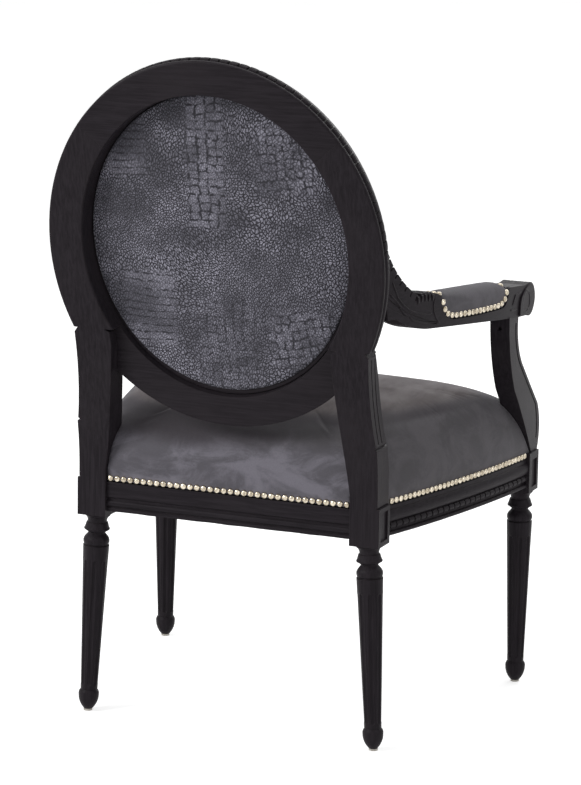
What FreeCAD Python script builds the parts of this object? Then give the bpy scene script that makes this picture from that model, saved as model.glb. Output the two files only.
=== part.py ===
import FreeCAD, Part
import math
import os

# Open-arm oval-back armchair in black painted wood, upholstered in grey velvet.
# The chair stands on z = 0 and faces -Y. +X is the sitter's left. Millimetres.

# Legs and seat frame
rear_block_spread = 456.0       # between the centres of the rear leg blocks
front_block_spread = 630.4      # between the centres of the front leg blocks
block_line_depth = 446.0        # from the front block centres to the rear block centres
rear_block_width = 48.0
rear_block_depth = 46.0
front_block_size = 44.0
block_bottom = 322.0
front_block_top = 387.0
rear_block_top = 382.0
rear_leg_splay = 2.6            # degrees outward
rear_leg_kick = 0.4             # degrees backward
block_panel_width = 24.0
block_panel_margin = 8.0
block_panel_sink = 3.0

# Turned leg, radii and heights
collar_radius = 20.3
collar_height = 297.6
waist_radius = 13.6
waist_height = 291.4
cup_radius = 20.5
cup_height = 279.3
shaft_top_height = 272.0
shaft_top_radius = 20.6
shaft_foot_radius = 13.4
shaft_foot_height = 35.0
foot_bulb_radius = 16.2
foot_bulb_height = 26.0
foot_end_radius = 7.0
glide_height = 3.0
flute_count = 8
flute_radius = 4.6
flute_depth = 2.2
flute_top_gap = 28.0
flute_foot_gap = 11.0

# Seat rails
rail_bottom = 331.0
rail_top = 391.0
rebate_height = 378.0           # upholstery is nailed above this height
rebate_depth = 5.0
rail_thickness = 26.0
back_rail_recess = 5.0          # behind the rear face of the rear blocks
side_rail_recess = 3.0
side_rail_bow = 10.0
front_rail_bow = 16.0
bead_pitch = 15.3               # carved beads along the side and front rails
bead_cut = 2.8
bead_low = 10.5                 # edges of the bead above the foot of the rail
bead_high = 20.5
bead_sink = 3.9
tenon_length = 16.0
tenon_thickness = 11.0
tenon_clearance = 0.2

# Back, measured in the raked plane of its rear face
back_rake = 10.0                # degrees
oval_centre_y = 303.5
oval_centre_z = 759.0
oval_outer_width = 547.0
oval_outer_height = 598.4
oval_band = 56.8                # width of the flat wooden band at the sides
oval_band_ends = 57.9           # mean width of the band at the top and bottom
opening_lift = 5.4              # the opening sits this much above the middle of the oval
lower_rail_trim = 18.2          # the lower rail's foot is this much above the oval's own
frame_depth = 40.0              # rear face to front face
carved_edge_start = 9.5         # depths of the carved edge from the rear face
carved_edge_depth = 24.0
carved_edge_rise = 1.6
ribbon_pitch = 15.5             # blocks of the carved edge and the cuts between them
ribbon_cut = 3.0
ribbon_cut_depth = 3.2
arm_ribbon_height = 9.5
crest_joint_angle = 42.0        # degrees above the middle of the oval
lower_rail_recess = 20.0
panel_ledge_depth = 34.0
panel_ledge_width = 9.0

# Rear stile between the seat block and the oval
stile_inner_top = 181.0         # half the gap between the stiles at the oval
stile_waist = 241.0             # half the width over the stiles at the oval
stile_shoulder = 247.5          # half the width over the stiles above the seat
stile_plain_top = 476.0         # height of the notch above the plain part
stile_nick_drop = 140.4         # from the middle of the oval down to the nick under its edge
reed_groove = 2.4               # width of the two grooves above the notch
reed_depth = 1.5
arris_run = 62.0                # wedge off the stile's front arris below the nick
arris_width = 7.0
arris_depth = 13.0

# Arms: rises above the arm's underside at the post, and y in the side view
arm_height = 623.5              # underside over the post
arm_root_low = 52.5
arm_root_high = 152.5
arm_root_width = 29.0
arm_front_width = 46.0
arm_root_inset = 4.5            # the arm's outer face at its root lies inside the oval's side
arm_elbow_y = 160.0
arm_elbow_rise = 26.0           # underside at the elbow
arm_leaf_y = 186.0
arm_leaf_rise = 82.5
arm_lip_rise = 52.5             # wood in front of the pad
scroll_centre_y = -175.0
scroll_centre_rise = 21.5
scroll_radius = 27.0
scroll_lobes = 4
lobe_depth = 2.4
carving_sink = 1.6              # depth of the flutes and of the scroll's ring
pad_front_y = -86.0
pad_rear_y = 131.0
pad_bed_front = 23.5
pad_bed_rear = 31.5
pad_top_front = 58.5
pad_top_rear = 75.5
post_width = 32.0
post_inset = 3.0                # inside the outer face of the front block
post_top_depth = 43.0
post_foot_depth = 30.0
post_set_back = 112.0           # front of the block to the front of the post at its top
post_tenon = 12.0               # square tenons at the foot and the head of the post
post_tenon_depth = 14.0
plug_hole_diameter = 6.5
plug_hole_depth = 6.0
plug_hole_drop = 14.5           # below the arm
arm_tenon_height = 50.0
arm_tenon_depth = 18.0

# Upholstery
cover_thickness = 3.5
seat_crown_height = 520.0
seat_corner = 12.0              # corner radius of the seat's plan at its foot
seat_top_corner = 170.0         # the same in the crown, before the plan is scaled down
seat_fullness = 2.6             # 2 is an elliptical crown, more is squarer
back_pad_depth = 46.0
back_pad_overlap = 16.0         # the pad laps this far over the wooden band
outside_back_crown = 9.0
board_trim = 4.0                # the board is this much smaller than the opening
board_thickness = 4.0
soft_gap = 0.3
webbing_thickness = 1.5
strap_width = 50.0

V = FreeCAD.Vector
UP = V(0, 0, 1)

rear_block_x = rear_block_spread / 2
rear_block_y = block_line_depth / 2
front_block_x = front_block_spread / 2
front_block_y = -block_line_depth / 2
rear_outer_x = rear_block_x + rear_block_width / 2
rear_inner_x = rear_block_x - rear_block_width / 2
rear_back_y = rear_block_y + rear_block_depth / 2
rear_front_y = rear_block_y - rear_block_depth / 2
front_outer_x = front_block_x + front_block_size / 2
front_inner_x = front_block_x - front_block_size / 2
front_front_y = front_block_y - front_block_size / 2
front_rear_y = front_block_y + front_block_size / 2

outer_a = oval_outer_width / 2
outer_b = oval_outer_height / 2
inner_a = outer_a - oval_band
inner_b = outer_b - oval_band_ends
rake = math.radians(back_rake)
root_low_z = arm_height + arm_root_low
root_high_z = arm_height + arm_root_high
elbow_z = arm_height + arm_elbow_rise
leaf_z = arm_height + arm_leaf_rise
lip_z = arm_height + arm_lip_rise
scroll_z = arm_height + scroll_centre_rise
bed_front_z = arm_height + pad_bed_front
bed_rear_z = arm_height + pad_bed_rear
pad_front_z = arm_height + pad_top_front
pad_rear_z = arm_height + pad_top_rear
nick_z = oval_centre_z - stile_nick_drop
back_turn = FreeCAD.Rotation(V(1, 0, 0), 90 - back_rake)
back_place = FreeCAD.Placement(V(0, oval_centre_y, oval_centre_z), back_turn)


def back_y(z, depth=0.0):
    """World y of the raked back at height z, a given depth in front of its rear face."""
    return oval_centre_y + (z - oval_centre_z) * math.tan(rake) - depth / math.cos(rake)


def in_back(shape):
    """The shape moved from the plane of the back to its place in the chair."""
    shape.Placement = back_place.multiply(shape.Placement)
    return shape


def in_opening(shape):
    """The shape moved from the plane of the back to its place in the oval's opening."""
    shape.translate(V(0, opening_lift, 0))
    return in_back(shape)


def side_point(y, z):
    return V(0, y, z)


def front_point(x, z):
    return V(x, 0, z)


def plan_point(x, y):
    return V(x, y, 0)


def outline(to_space, start, *steps):
    """Closed face. A step is an end point for a line, or a (middle, end) pair for an arc."""
    edges = []
    here = start
    for step in steps + (start,):
        if isinstance(step[0], tuple):
            middle, end = step
            edges.append(Part.Arc(to_space(*here), to_space(*middle), to_space(*end)).toShape())
        else:
            end = step
            if to_space(*here).distanceToPoint(to_space(*end)) < 1e-6:
                continue
            edges.append(Part.LineSegment(to_space(*here), to_space(*end)).toShape())
        here = end
    return Part.Face(Part.Wire(edges))


def slab(face, direction, length):
    """The face extruded by length, half to each side."""
    solid = face.extrude(direction * length)
    solid.translate(direction * (-length / 2))
    return solid


def box(x0, x1, y0, y1, z0, z1):
    return Part.makeBox(x1 - x0, y1 - y0, z1 - z0, V(x0, y0, z0))


def mirrored(shape):
    return shape.mirror(V(0, 0, 0), V(1, 0, 0))


def ellipse_wire(a, b, depth):
    centre = V(0, 0, depth)
    ends = [V(0, b, depth), V(a, 0, depth)]
    if a > b:
        ends.reverse()
    return Part.Wire(Part.Ellipse(ends[0], ends[1], centre).toShape())


def ellipse_loft(a, b, stations):
    """Solid through ellipses. Each station is (depth, offset from the a and b given)."""
    wires = [ellipse_wire(a + offset, b + offset, depth) for depth, offset in stations]
    return Part.makeLoft(wires, True, True)


def domed(a, b, profile):
    """Solid of revolution about the depth axis for a profile (radius, depth), stretched to an ellipse."""
    solid = outline(front_point, *profile).revolve(V(0, 0, 0), UP, 360)
    stretch = FreeCAD.Matrix()
    stretch.scale(1, b / a, 1)
    return solid.transformGeometry(stretch)


def turned_leg():
    """Leg on the Z axis, from its glide up into the block."""
    shaft_start = shaft_top_height - 1.5
    foot_neck = shaft_foot_height + 1.0
    cove_top = block_bottom - 3.0
    cove_low = collar_height + 10.4
    neck_radius = waist_radius + 1.6
    groove = 2.3
    profile = outline(
        front_point,
        (0, 0),
        (foot_end_radius, 0),
        (foot_end_radius, glide_height),
        ((foot_bulb_radius - 2.2, foot_bulb_height / 2 + 1), (foot_bulb_radius, foot_bulb_height)),
        ((foot_bulb_radius - 0.8, foot_bulb_height + 5.5), (shaft_foot_radius - 0.6, shaft_foot_height)),
        (shaft_foot_radius, foot_neck),
        (shaft_top_radius, shaft_start),
        (shaft_top_radius - groove, shaft_start + 0.5),
        (shaft_top_radius - groove, shaft_start + 2),
        (cup_radius - 0.8, shaft_start + 2.8),
        ((cup_radius, cup_height), (cup_radius - 2.6, cup_height + 5.5)),
        (waist_radius, waist_height - 1.5),
        (waist_radius, waist_height + 0.5),
        (collar_radius - 1.2, collar_height - 2.2),
        ((collar_radius, collar_height - 0.4), (collar_radius - 0.9, collar_height + 1.2)),
        (neck_radius + 2.2, cove_low - 2.6),
        (neck_radius + 1.6, cove_low - 0.6),
        (neck_radius, cove_low),
        ((neck_radius + 1.3, (cove_low + cove_top) / 2 + 1.4), (collar_radius, cove_top)),
        (collar_radius, block_bottom + 5),
        (0, block_bottom + 5),
    )
    leg = profile.revolve(V(0, 0, 0), UP, 360)
    return leg.cut(flutes())


def flutes():
    """Round-ended hollows set about the tapering shaft."""
    top = shaft_top_height - flute_top_gap
    low = shaft_foot_height + flute_foot_gap
    taper = (shaft_top_radius - shaft_foot_radius) / (shaft_top_height - shaft_foot_height)
    out = flute_radius - flute_depth
    r_low = shaft_foot_radius + taper * (low - shaft_foot_height) + out
    r_top = shaft_foot_radius + taper * (top - shaft_foot_height) + out
    start = V(r_low, 0, low)
    end = V(r_top, 0, top)
    run = end - start
    hollow = Part.makeCylinder(flute_radius, run.Length, start, run)
    hollow = hollow.fuse([Part.makeSphere(flute_radius, start), Part.makeSphere(flute_radius, end)])
    copies = []
    for k in range(flute_count):
        copy = hollow.copy()
        copy.rotate(V(0, 0, 0), UP, (k + 0.5) * 360.0 / flute_count)
        copies.append(copy)
    return Part.makeCompound(copies)


def block_panel(x, y, z0, z1, width, along_x):
    """Sunken panel cutter, centred on a block's face at x, y."""
    half = width / 2
    if along_x:
        return box(x - half, x + half, y - block_panel_sink, y + block_panel_sink, z0, z1)
    return box(x - block_panel_sink, x + block_panel_sink, y - half, y + half, z0, z1)


def leg_under_block(x, y, splay, kick):
    leg = turned_leg()
    leg.rotate(V(0, 0, block_bottom), V(0, 1, 0), -splay)
    leg.rotate(V(0, 0, block_bottom), V(1, 0, 0), kick)
    leg.translate(V(x, y, 0))
    return leg.cut(box(x - 99, x + 99, y - 99, y + 99, -99, glide_height))


def foot_centre(x, y, splay, kick):
    return V(
        x + block_bottom * math.tan(math.radians(splay)),
        y + block_bottom * math.tan(math.radians(kick)),
        0,
    )


def front_leg():
    top = front_block_top
    x, y = front_block_x, front_block_y
    half = front_block_size / 2
    block = box(x - half, x + half, y - half, y + half, block_bottom, top)
    low, high = block_bottom + block_panel_margin, rebate_height - 3
    block = block.cut(block_panel(front_outer_x, y - 1.5, low, high, block_panel_width, False))
    block = block.cut(block_panel(x, front_front_y, low, high, block_panel_width, True))
    return block.fuse(leg_under_block(x, y, 0, 0)).removeSplitter()


def stile_profile():
    """Side outline of the rear stile: upright at the seat, raked above it."""
    bend = 36.0
    corner_z = oval_centre_z - (oval_centre_y - rear_back_y) / math.tan(rake)
    over = corner_z + bend * math.cos(rake)
    top = oval_centre_z - 60
    lean = oval_centre_z - 162
    thick = rear_back_y - rear_front_y
    arc_y = rear_back_y + bend * math.sin(rake) * 0.23
    return outline(
        side_point,
        (rear_back_y, block_bottom),
        (rear_back_y, corner_z - bend),
        ((arc_y, corner_z + 0.5), (back_y(over), over)),
        (back_y(top), top),
        (back_y(top, frame_depth), top),
        (back_y(lean, frame_depth), lean),
        (rear_back_y - thick, corner_z),
        (rear_back_y - thick, block_bottom),
    )


def stile_waist_middle():
    """Slimmest point of the stile's side, in front view."""
    return stile_waist, (stile_plain_top + nick_z) / 2 + 14


def stile_outline():
    """Front outline of the left rear stile, up into the side of the oval."""
    notch = 2.5
    plain_x = stile_shoulder + 1.5
    inner_z = nick_z - 18
    band_mid = inner_a * 0.93
    return outline(
        front_point,
        (rear_inner_x, block_bottom),
        (rear_outer_x, block_bottom),
        (rear_outer_x, rear_block_top),
        (plain_x - notch, rear_block_top + notch / 2),
        (plain_x, rear_block_top + notch),
        (plain_x, stile_plain_top - notch),
        (stile_shoulder - notch, stile_plain_top),
        (stile_shoulder, stile_plain_top + notch),
        (stile_waist_middle(), (stile_waist + 1, nick_z)),
        (stile_waist - 9, nick_z + 13),
        (band_mid, nick_z + 13),
        (stile_inner_top + 1.5, nick_z + 3),
        (stile_inner_top, inner_z),
        ((rear_inner_x - 13, (inner_z + 400) / 2), (rear_inner_x, 400)),
    )


def oval_ring():
    """The whole oval frame in its own plane: moulded outside, stepped inside."""
    start, deep, rise = carved_edge_start, carved_edge_depth, carved_edge_rise
    outside = [
        (0, -2.6), (1, -1), (3, 0), (start - 3, 0), (start - 2, -2.8), (start - 0.5, -2.8), (start + 0.5, -0.6),
        (start + 3, rise - 0.4), (start + 7.5, rise), (deep - 2.5, rise - 1.2), (deep, rise - 3.2),
        (deep + 1, rise - 5.6), (frame_depth, -8),
    ]
    ring = ellipse_loft(outer_a, outer_b, outside)
    opening = ellipse_loft(inner_a, inner_b, [(-1, 2.5), (2, 0), (panel_ledge_depth, -3)])
    ledge = -3 - panel_ledge_width
    front = ellipse_loft(inner_a, inner_b, [(panel_ledge_depth - 1, ledge), (frame_depth + 1, ledge)])
    opening = opening.fuse(front)
    opening.translate(V(0, opening_lift, 0))
    return ring.cut(opening)


def ribbon_cuts():
    """Cuts that part the carved edge into blocks, over the crest from one arm to the other."""
    half = ribbon_cut / 2
    cutter = box(-half, half, -ribbon_cut_depth, 9, carved_edge_start, carved_edge_depth + 1)
    last = (root_high_z - oval_centre_z) / math.cos(rake)
    cuts = []
    t, step, walked, target = 90.0, 0.25, 0.0, ribbon_pitch / 2
    while t > 0:
        here = (outer_a * math.cos(math.radians(t)), outer_b * math.sin(math.radians(t)))
        t -= step
        there = (outer_a * math.cos(math.radians(t)), outer_b * math.sin(math.radians(t)))
        walked += math.dist(here, there)
        if there[1] < last:
            break
        if walked < target:
            continue
        target += ribbon_pitch
        cut = cutter.copy()
        normal = math.degrees(math.atan2(there[1] / outer_b ** 2, there[0] / outer_a ** 2))
        cut.rotate(V(0, 0, 0), UP, normal - 90)
        cut.translate(V(there[0], there[1], 0))
        cuts.append(in_back(cut))
    return cuts


def wedge(points):
    """Prism over a polygon in the plane of the back, through the whole depth."""
    face = outline(plan_point, *points)
    solid = face.extrude(UP * (frame_depth + 20))
    solid.translate(UP * -10)
    return solid


def oval_parts():
    """Crest, left side and lower rail of the oval, in the plane of the back."""
    ring = oval_ring()
    far = outer_a + outer_b
    joint = math.radians(crest_joint_angle)
    jx, jy = far * math.cos(joint), far * math.sin(joint)
    low = -135.0
    crest = ring.common(wedge([(0, 0), (jx, jy), (jx, far), (-jx, far), (-jx, jy)]))
    side = ring.common(wedge([(0, low), (far, low), (far, jy), (jx, jy), (0, 0)]))
    lower = ring.common(wedge([(-far, -far), (far, -far), (far, low + 20), (-far, low + 20)]))
    lower = lower.cut(box(-far, far, -far, far, -10, lower_rail_recess))
    lower = lower.common(ellipse_loft(outer_a, outer_b - lower_rail_trim, [(-20, 0), (frame_depth + 20, 0)]))
    return crest, side, lower


def joint_tongue(gap):
    """Loose tongue's space across the joint between crest and stile, in the plane of the back."""
    joint = math.radians(crest_joint_angle)
    mid_a = (outer_a + inner_a) / 2
    mid_b = (outer_b + inner_b) / 2
    reach = 1.0 / math.hypot(math.cos(joint) / mid_a, math.sin(joint) / mid_b)
    along, wide, thick = tenon_length, oval_band * 0.45, tenon_thickness
    tongue = box(-wide / 2 - gap, wide / 2 + gap, -along - gap, along / 2, -thick / 2 - gap, thick / 2 + gap)
    tongue.rotate(V(0, 0, 0), UP, crest_joint_angle)
    tongue.translate(V(reach * math.cos(joint), reach * math.sin(joint), frame_depth / 2 - 3))
    return tongue


def rail_circle(p0, p1, bow):
    """Centre, radius and the two angles of the arc from p0 to p1 that bows to the left of p0 to p1."""
    chord = p1 - p0
    length = chord.Length
    normal = V(-chord.y, chord.x, 0) / length
    radius = (length * length / 4 + bow * bow) / (2 * bow)
    centre = (p0 + p1) / 2 + normal * (bow - radius)
    a0 = math.degrees(math.atan2(p0.y - centre.y, p0.x - centre.x))
    a1 = math.degrees(math.atan2(p1.y - centre.y, p1.x - centre.x))
    if a0 - a1 > 180:
        a1 += 360
    if a1 - a0 > 180:
        a0 += 360
    return centre, radius, a0, a1


def bowed_bar(section, p0, p1, bow):
    """Bar whose section (offset outward, height) follows the arc, a little past both ends."""
    centre, radius, a0, a1 = rail_circle(p0, p1, bow)
    start, end = min(a0, a1) - 2, max(a0, a1) + 2
    shifted = [((p[0][0] + radius, p[0][1]), (p[1][0] + radius, p[1][1])) if isinstance(p[0], tuple)
               else (p[0] + radius, p[1]) for p in section]
    face = outline(front_point, *shifted)
    bar = face.revolve(V(0, 0, 0), UP, end - start)
    bar.rotate(V(0, 0, 0), UP, start)
    bar.translate(centre)
    return bar


def carved_section():
    """Front and side rail section: nailing rebate, rounded fascia, beading, bottom bead."""
    low = rail_bottom
    thick = rail_thickness
    return [
        (-thick, low), (-2.5, low), ((0, low + 3), (-2.5, low + 6)), (-5, low + 6.5), (-5, low + 10),
        (-3.5, low + bead_low), ((0.5, low + (bead_low + bead_high) / 2), (-3.5, low + bead_high)),
        (-5, low + 21.5), (-1.5, low + 22.5),
        ((1.2, low + 31), (-1.5, low + 39.5)), (-3, low + 40.5), (-3, rebate_height),
        (-3 - rebate_depth, rebate_height), (-3 - rebate_depth, rail_top), (-thick, rail_top),
    ]


def plain_section():
    """Back rail section: flat fascia over a groove, a bead and a bottom fillet."""
    low = rail_bottom
    thick = rail_thickness
    return [
        (-thick, low), (-1, low), (-1, low + 5), (-3, low + 6), (-3, low + 7.5),
        ((0.5, low + 12.5), (-3, low + 17.5)), (-3, low + 21), (0, low + 23), (0, rebate_height),
        (-rebate_depth, rebate_height), (-rebate_depth, rail_top), (-thick, rail_top),
    ]


def side_rail_ends():
    rear = V(rear_outer_x - side_rail_recess, rear_front_y, 0)
    front = V(front_outer_x - side_rail_recess, front_rear_y, 0)
    return rear, front


def front_rail_ends():
    y = front_front_y + side_rail_recess
    return V(front_inner_x, y, 0), V(-front_inner_x, y, 0)


def tenon_heights():
    return rail_bottom + 10, rebate_height - 5


def side_tenon(front, gap):
    """Tenon of a side rail in the left front or rear block."""
    z0, z1 = tenon_heights()
    rear_end, front_end = side_rail_ends()
    end = front_end if front else rear_end
    x1 = end.x - rebate_depth - 3
    x0 = x1 - tenon_thickness
    y0, y1 = (end.y - tenon_length, end.y + 1) if front else (end.y - 1, end.y + tenon_length)
    return box(x0 - gap, x1 + gap, y0 - gap, y1 + gap, z0 - gap, z1 + gap)


def cross_tenon(front, gap):
    """Tenon of the front or back rail in the left block."""
    z0, z1 = tenon_heights()
    if front:
        x0 = front_inner_x
        y0 = front_front_y + side_rail_recess + rebate_depth + 4
    else:
        x0 = rear_inner_x
        y0 = rear_back_y - back_rail_recess - rebate_depth - 4 - tenon_thickness
    return box(x0 - 1 - gap, x0 + tenon_length + gap, y0 - gap, y0 + tenon_thickness + gap, z0 - gap, z1 + gap)


def bead_cuts(p0, p1, bow):
    """Cuts that part the small bead of a bowed rail into carved beads."""
    centre, radius, a0, a1 = rail_circle(p0, p1, bow)
    low, high = rail_bottom + bead_low - 0.7, rail_bottom + bead_high + 0.7
    cutter = box(radius - bead_sink, radius + 9, -bead_cut / 2, bead_cut / 2, low, high)
    turn = math.degrees(bead_pitch / radius)
    count = int(abs(a1 - a0) / turn)
    cuts = []
    for k in range(count + 1):
        cut = cutter.copy()
        cut.rotate(V(0, 0, 0), UP, (a0 + a1) / 2 + (k - count / 2) * turn)
        cut.translate(centre)
        cuts.append(cut)
    return cuts


def side_rail():
    rear, front = side_rail_ends()
    bar = bowed_bar(carved_section(), rear, front, side_rail_bow)
    bar = bar.common(box(0, front_outer_x + 99, front.y, rear.y, 0, rail_top + 9))
    bar = bar.cut(bead_cuts(rear, front, side_rail_bow))
    return bar.fuse([side_tenon(True, 0), side_tenon(False, 0)]).removeSplitter()


def front_rail():
    left, right = front_rail_ends()
    bar = bowed_bar(carved_section(), left, right, front_rail_bow)
    bar = bar.common(box(right.x, left.x, left.y - 99, left.y + 99, 0, rail_top + 9))
    bar = bar.cut(bead_cuts(left, right, front_rail_bow))
    tenon = cross_tenon(True, 0)
    return bar.fuse([tenon, mirrored(tenon)]).removeSplitter()


def back_rail():
    face = outline(side_point, *[flip_profile(p) for p in plain_section()])
    bar = slab(face, V(1, 0, 0), 2 * rear_inner_x)
    tenon = cross_tenon(False, 0)
    return bar.fuse([tenon, mirrored(tenon)]).removeSplitter()


def flip_profile(step):
    """Section step moved to the rear face of the back rail."""
    base = rear_back_y - back_rail_recess
    if isinstance(step[0], tuple):
        return tuple((base + p[0], p[1]) for p in step)
    return (base + step[0], step[1])


def stile_body():
    """Left stile from the bottom of its block to the oval."""
    post = slab(stile_profile(), V(1, 0, 0), 4 * rear_outer_x)
    return post.common(slab(stile_outline(), V(0, 1, 0), 4 * oval_centre_y))


def reed_cuts():
    """Two grooves down the outer side of the left stile, between the notch and the nick."""
    far = 60.0
    z0, z1 = stile_plain_top + 6, nick_z - 4
    skin = outline(
        front_point,
        (stile_shoulder - reed_depth, z0),
        ((stile_waist - reed_depth, stile_waist_middle()[1]), (stile_waist + 1 - reed_depth, z1)),
        (stile_waist + far, z1),
        (stile_waist + far, z0),
    )
    skin = slab(skin, V(0, 1, 0), 4 * oval_centre_y)
    cuts = []
    for share in (0.33, 0.66):
        d0 = frame_depth * share - reed_groove / 2
        d1 = d0 + reed_groove
        lines = outline(side_point, (back_y(z0, d0), z0), (back_y(z1, d0), z1), (back_y(z1, d1), z1), (back_y(z0, d1), z0))
        cuts.append(slab(lines, V(1, 0, 0), 4 * rear_outer_x).common(skin))
    return cuts


def arris_cut():
    """Wedge off the front arris of the left stile, opening upward to the nick."""
    low, high = nick_z - arris_run, nick_z + 3
    corners = []
    for z, wide, deep in ((low, 0.3, 0.3), (high, arris_width, arris_depth)):
        x = stile_waist + 1.5
        y = back_y(z, frame_depth)
        points = [V(x + 2, y - 2, z), V(x + 2, y + deep, z), V(x - wide, y - 2, z), V(x + 2, y - 2, z)]
        corners.append(Part.makePolygon(points))
    return Part.makeLoft(corners, True, True)


def rear_stile():
    """Left rear leg, block, stile and side of the oval in one timber."""
    side = in_back(oval_parts()[1])
    post = stile_body()
    panel = block_panel(rear_outer_x, rear_block_y, block_bottom + block_panel_margin,
                        rebate_height - 3, block_panel_width + 4, False)
    post = post.cut([panel, arris_cut()] + reed_cuts())
    leg = leg_under_block(rear_block_x, rear_block_y, rear_leg_splay, rear_leg_kick)
    stile = post.fuse([side, leg]).removeSplitter()
    gap = tenon_clearance
    mortises = [in_back(joint_tongue(gap)), side_tenon(False, gap), cross_tenon(False, gap), arm_tenon(gap)]
    return stile.cut(mortises + ribbon_cuts())


def crest_rail():
    half = oval_parts()[0].common(box(0, 2 * outer_a, -outer_b, 2 * outer_b, -20, frame_depth + 20))
    half = in_back(half.fuse(joint_tongue(0))).removeSplitter().cut(ribbon_cuts())
    return half.fuse(mirrored(half)).removeSplitter()


def lower_back_rail(stile_left):
    lower = in_back(oval_parts()[2])
    lower = lower.cut([stile_left, mirrored(stile_left)])
    return max(lower.Solids, key=lambda s: s.Volume)


def arm_top_curve():
    """Points of the arm's upper edge behind the leaf, from the leaf up to the oval."""
    return (
        (arm_leaf_y + 2, leaf_z - 4),
        (arm_leaf_y + 46, leaf_z + 26),
        (back_y(root_high_z, frame_depth), root_high_z),
    )


def arm_outline():
    """Side outline of the arm: sweeping root, scooped bed for the pad, front scroll."""
    cy, cz, r = scroll_centre_y, scroll_z, scroll_radius
    root_low = (back_y(root_low_z, frame_depth), root_low_z)
    seat_low = (back_y(root_low_z, carved_edge_depth), root_low_z)
    seat_high = (back_y(root_high_z, carved_edge_depth), root_high_z)
    foot_of_curve, belly, root_high = arm_top_curve()
    under_y = cy + 2 * r
    middle = (arm_elbow_y + under_y) / 2
    bed_middle = (pad_front_y + pad_rear_y) / 2
    return outline(
        side_point,
        seat_low,
        root_low,
        ((arm_elbow_y + 52, elbow_z + 10.5), (arm_elbow_y, elbow_z)),
        ((middle, (elbow_z + arm_height) / 2 + 1), (under_y, arm_height)),
        (cy + 16, cz - r + 3),
        (cy, cz - r),
        ((cy - r, cz), (cy, cz + r)),
        (cy + 20, cz + r - 1.5),
        (pad_front_y - 8, lip_z),
        (pad_front_y, lip_z - 3),
        ((pad_front_y + 6, bed_front_z + 8), (pad_front_y + 25, bed_front_z)),
        ((bed_middle, (bed_front_z + bed_rear_z) / 2 - 1), (pad_rear_y - 32, bed_rear_z)),
        ((pad_rear_y - 10, bed_rear_z + 12), (pad_rear_y, leaf_z - 10)),
        ((arm_leaf_y - 22, leaf_z - 1), (arm_leaf_y, leaf_z)),
        foot_of_curve,
        (belly, root_high),
        seat_high,
    )


def arm_lines(y):
    """Outer and inner x of the left arm at y: an arc from the oval's side to the front of the scroll."""
    tip_y = scroll_centre_y - scroll_radius
    root_y = back_y((root_low_z + root_high_z) / 2, frame_depth)
    spread = front_outer_x - outer_a + arm_root_inset
    run = root_y - tip_y
    radius = (spread * spread + run * run) / (2 * spread)
    outer = front_outer_x - radius + math.sqrt(radius * radius - (y - tip_y) ** 2)
    share = (root_y - y) / run
    return outer, outer - arm_root_width * (1 - share) - arm_front_width * share


def arm_plan(inset=0.0):
    """Plan of the left arm between its root and its scroll."""
    tip = scroll_centre_y - scroll_radius - 1
    ys = (oval_centre_y, (oval_centre_y + tip) / 2, tip)
    outer = [(arm_lines(y)[0] - inset, y) for y in ys]
    inner = [(arm_lines(y)[1] + inset, y) for y in ys]
    return outline(plan_point, outer[0], (outer[1], outer[2]), inner[2], (inner[1], inner[0]))


def arm_tenon(gap):
    """Tenon at the root of the left arm, let into the side of the oval."""
    middle = (root_low_z + root_high_z) / 2
    v = (middle - oval_centre_z) / math.cos(rake)
    x = arm_lines(back_y(middle, frame_depth))[0] - arm_root_width / 2 - 3
    half, tall = tenon_thickness / 2 + gap, arm_tenon_height / 2 + gap
    deep = frame_depth - arm_tenon_depth - gap
    return in_back(box(x - half, x + half, v - tall, v + tall, deep, frame_depth + 4))


def arm_flute():
    """Side outline of the flute that sweeps from the arm's root to its shoulder."""
    return outline(
        side_point,
        (268, root_low_z + 36),
        ((228, root_low_z + 12), (144, root_low_z - 18)),
        (144, root_low_z - 22),
        ((222, root_low_z + 1), (272, root_low_z + 24)),
    )


def scroll_ring():
    """Ring cut into both sides of the scroll."""
    start = V(0, scroll_centre_y + 1, scroll_z)
    tall = 2 * front_outer_x
    wide = Part.makeCylinder(scroll_radius * 0.62, tall, start, V(1, 0, 0))
    return wide.cut(Part.makeCylinder(scroll_radius * 0.5, tall, start, V(1, 0, 0)))


def lobe_cuts():
    """Valleys between the lobes that run over the scroll, from the pad round to its front."""
    outer, inner = arm_lines(scroll_centre_y)
    r = scroll_radius
    y0, y1 = scroll_centre_y, pad_front_y - 4
    cuts = []
    for k in range(1, scroll_lobes):
        x = inner + (outer - inner) * k / scroll_lobes
        notch = outline(front_point, (x - 2.6, r + 1.5), (x, r - lobe_depth), (x + 2.6, r + 1.5))
        roll = notch.revolve(V(0, 0, 0), V(1, 0, 0), 200)
        roll.translate(V(0, scroll_centre_y, scroll_z))
        back = outline(front_point, (x - 2.6, r + 1.5), (x, r - lobe_depth), (x + 2.6, r + 1.5), (x, r + 12))
        run = back.extrude(V(0, y1 - y0, lip_z - scroll_z - r))
        run.translate(V(0, scroll_centre_y, scroll_z))
        cuts += [roll, run]
    return cuts


def arm_ribbon_cuts():
    """The carved edge goes on along the outer upper edge of the arm, as cuts across the arris."""
    low, belly, high = [side_point(*p) for p in arm_top_curve()]
    curve = Part.Arc(low, belly, high).toShape()
    count = int(curve.Length / ribbon_pitch)
    points = curve.discretize(2 * count + 1)
    cuts = []
    for k in range(1, 2 * count, 2):
        here = points[k]
        along = points[k + 1] - points[k - 1]
        outer = arm_lines(here.y)[0]
        half = ribbon_cut / 2
        cut = box(outer - ribbon_cut_depth, outer + 9, -half, half, -arm_ribbon_height, 9)
        cut.rotate(V(0, 0, 0), V(1, 0, 0), math.degrees(math.atan2(along.z, along.y)))
        cut.translate(here)
        cuts.append(cut)
    return cuts


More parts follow.
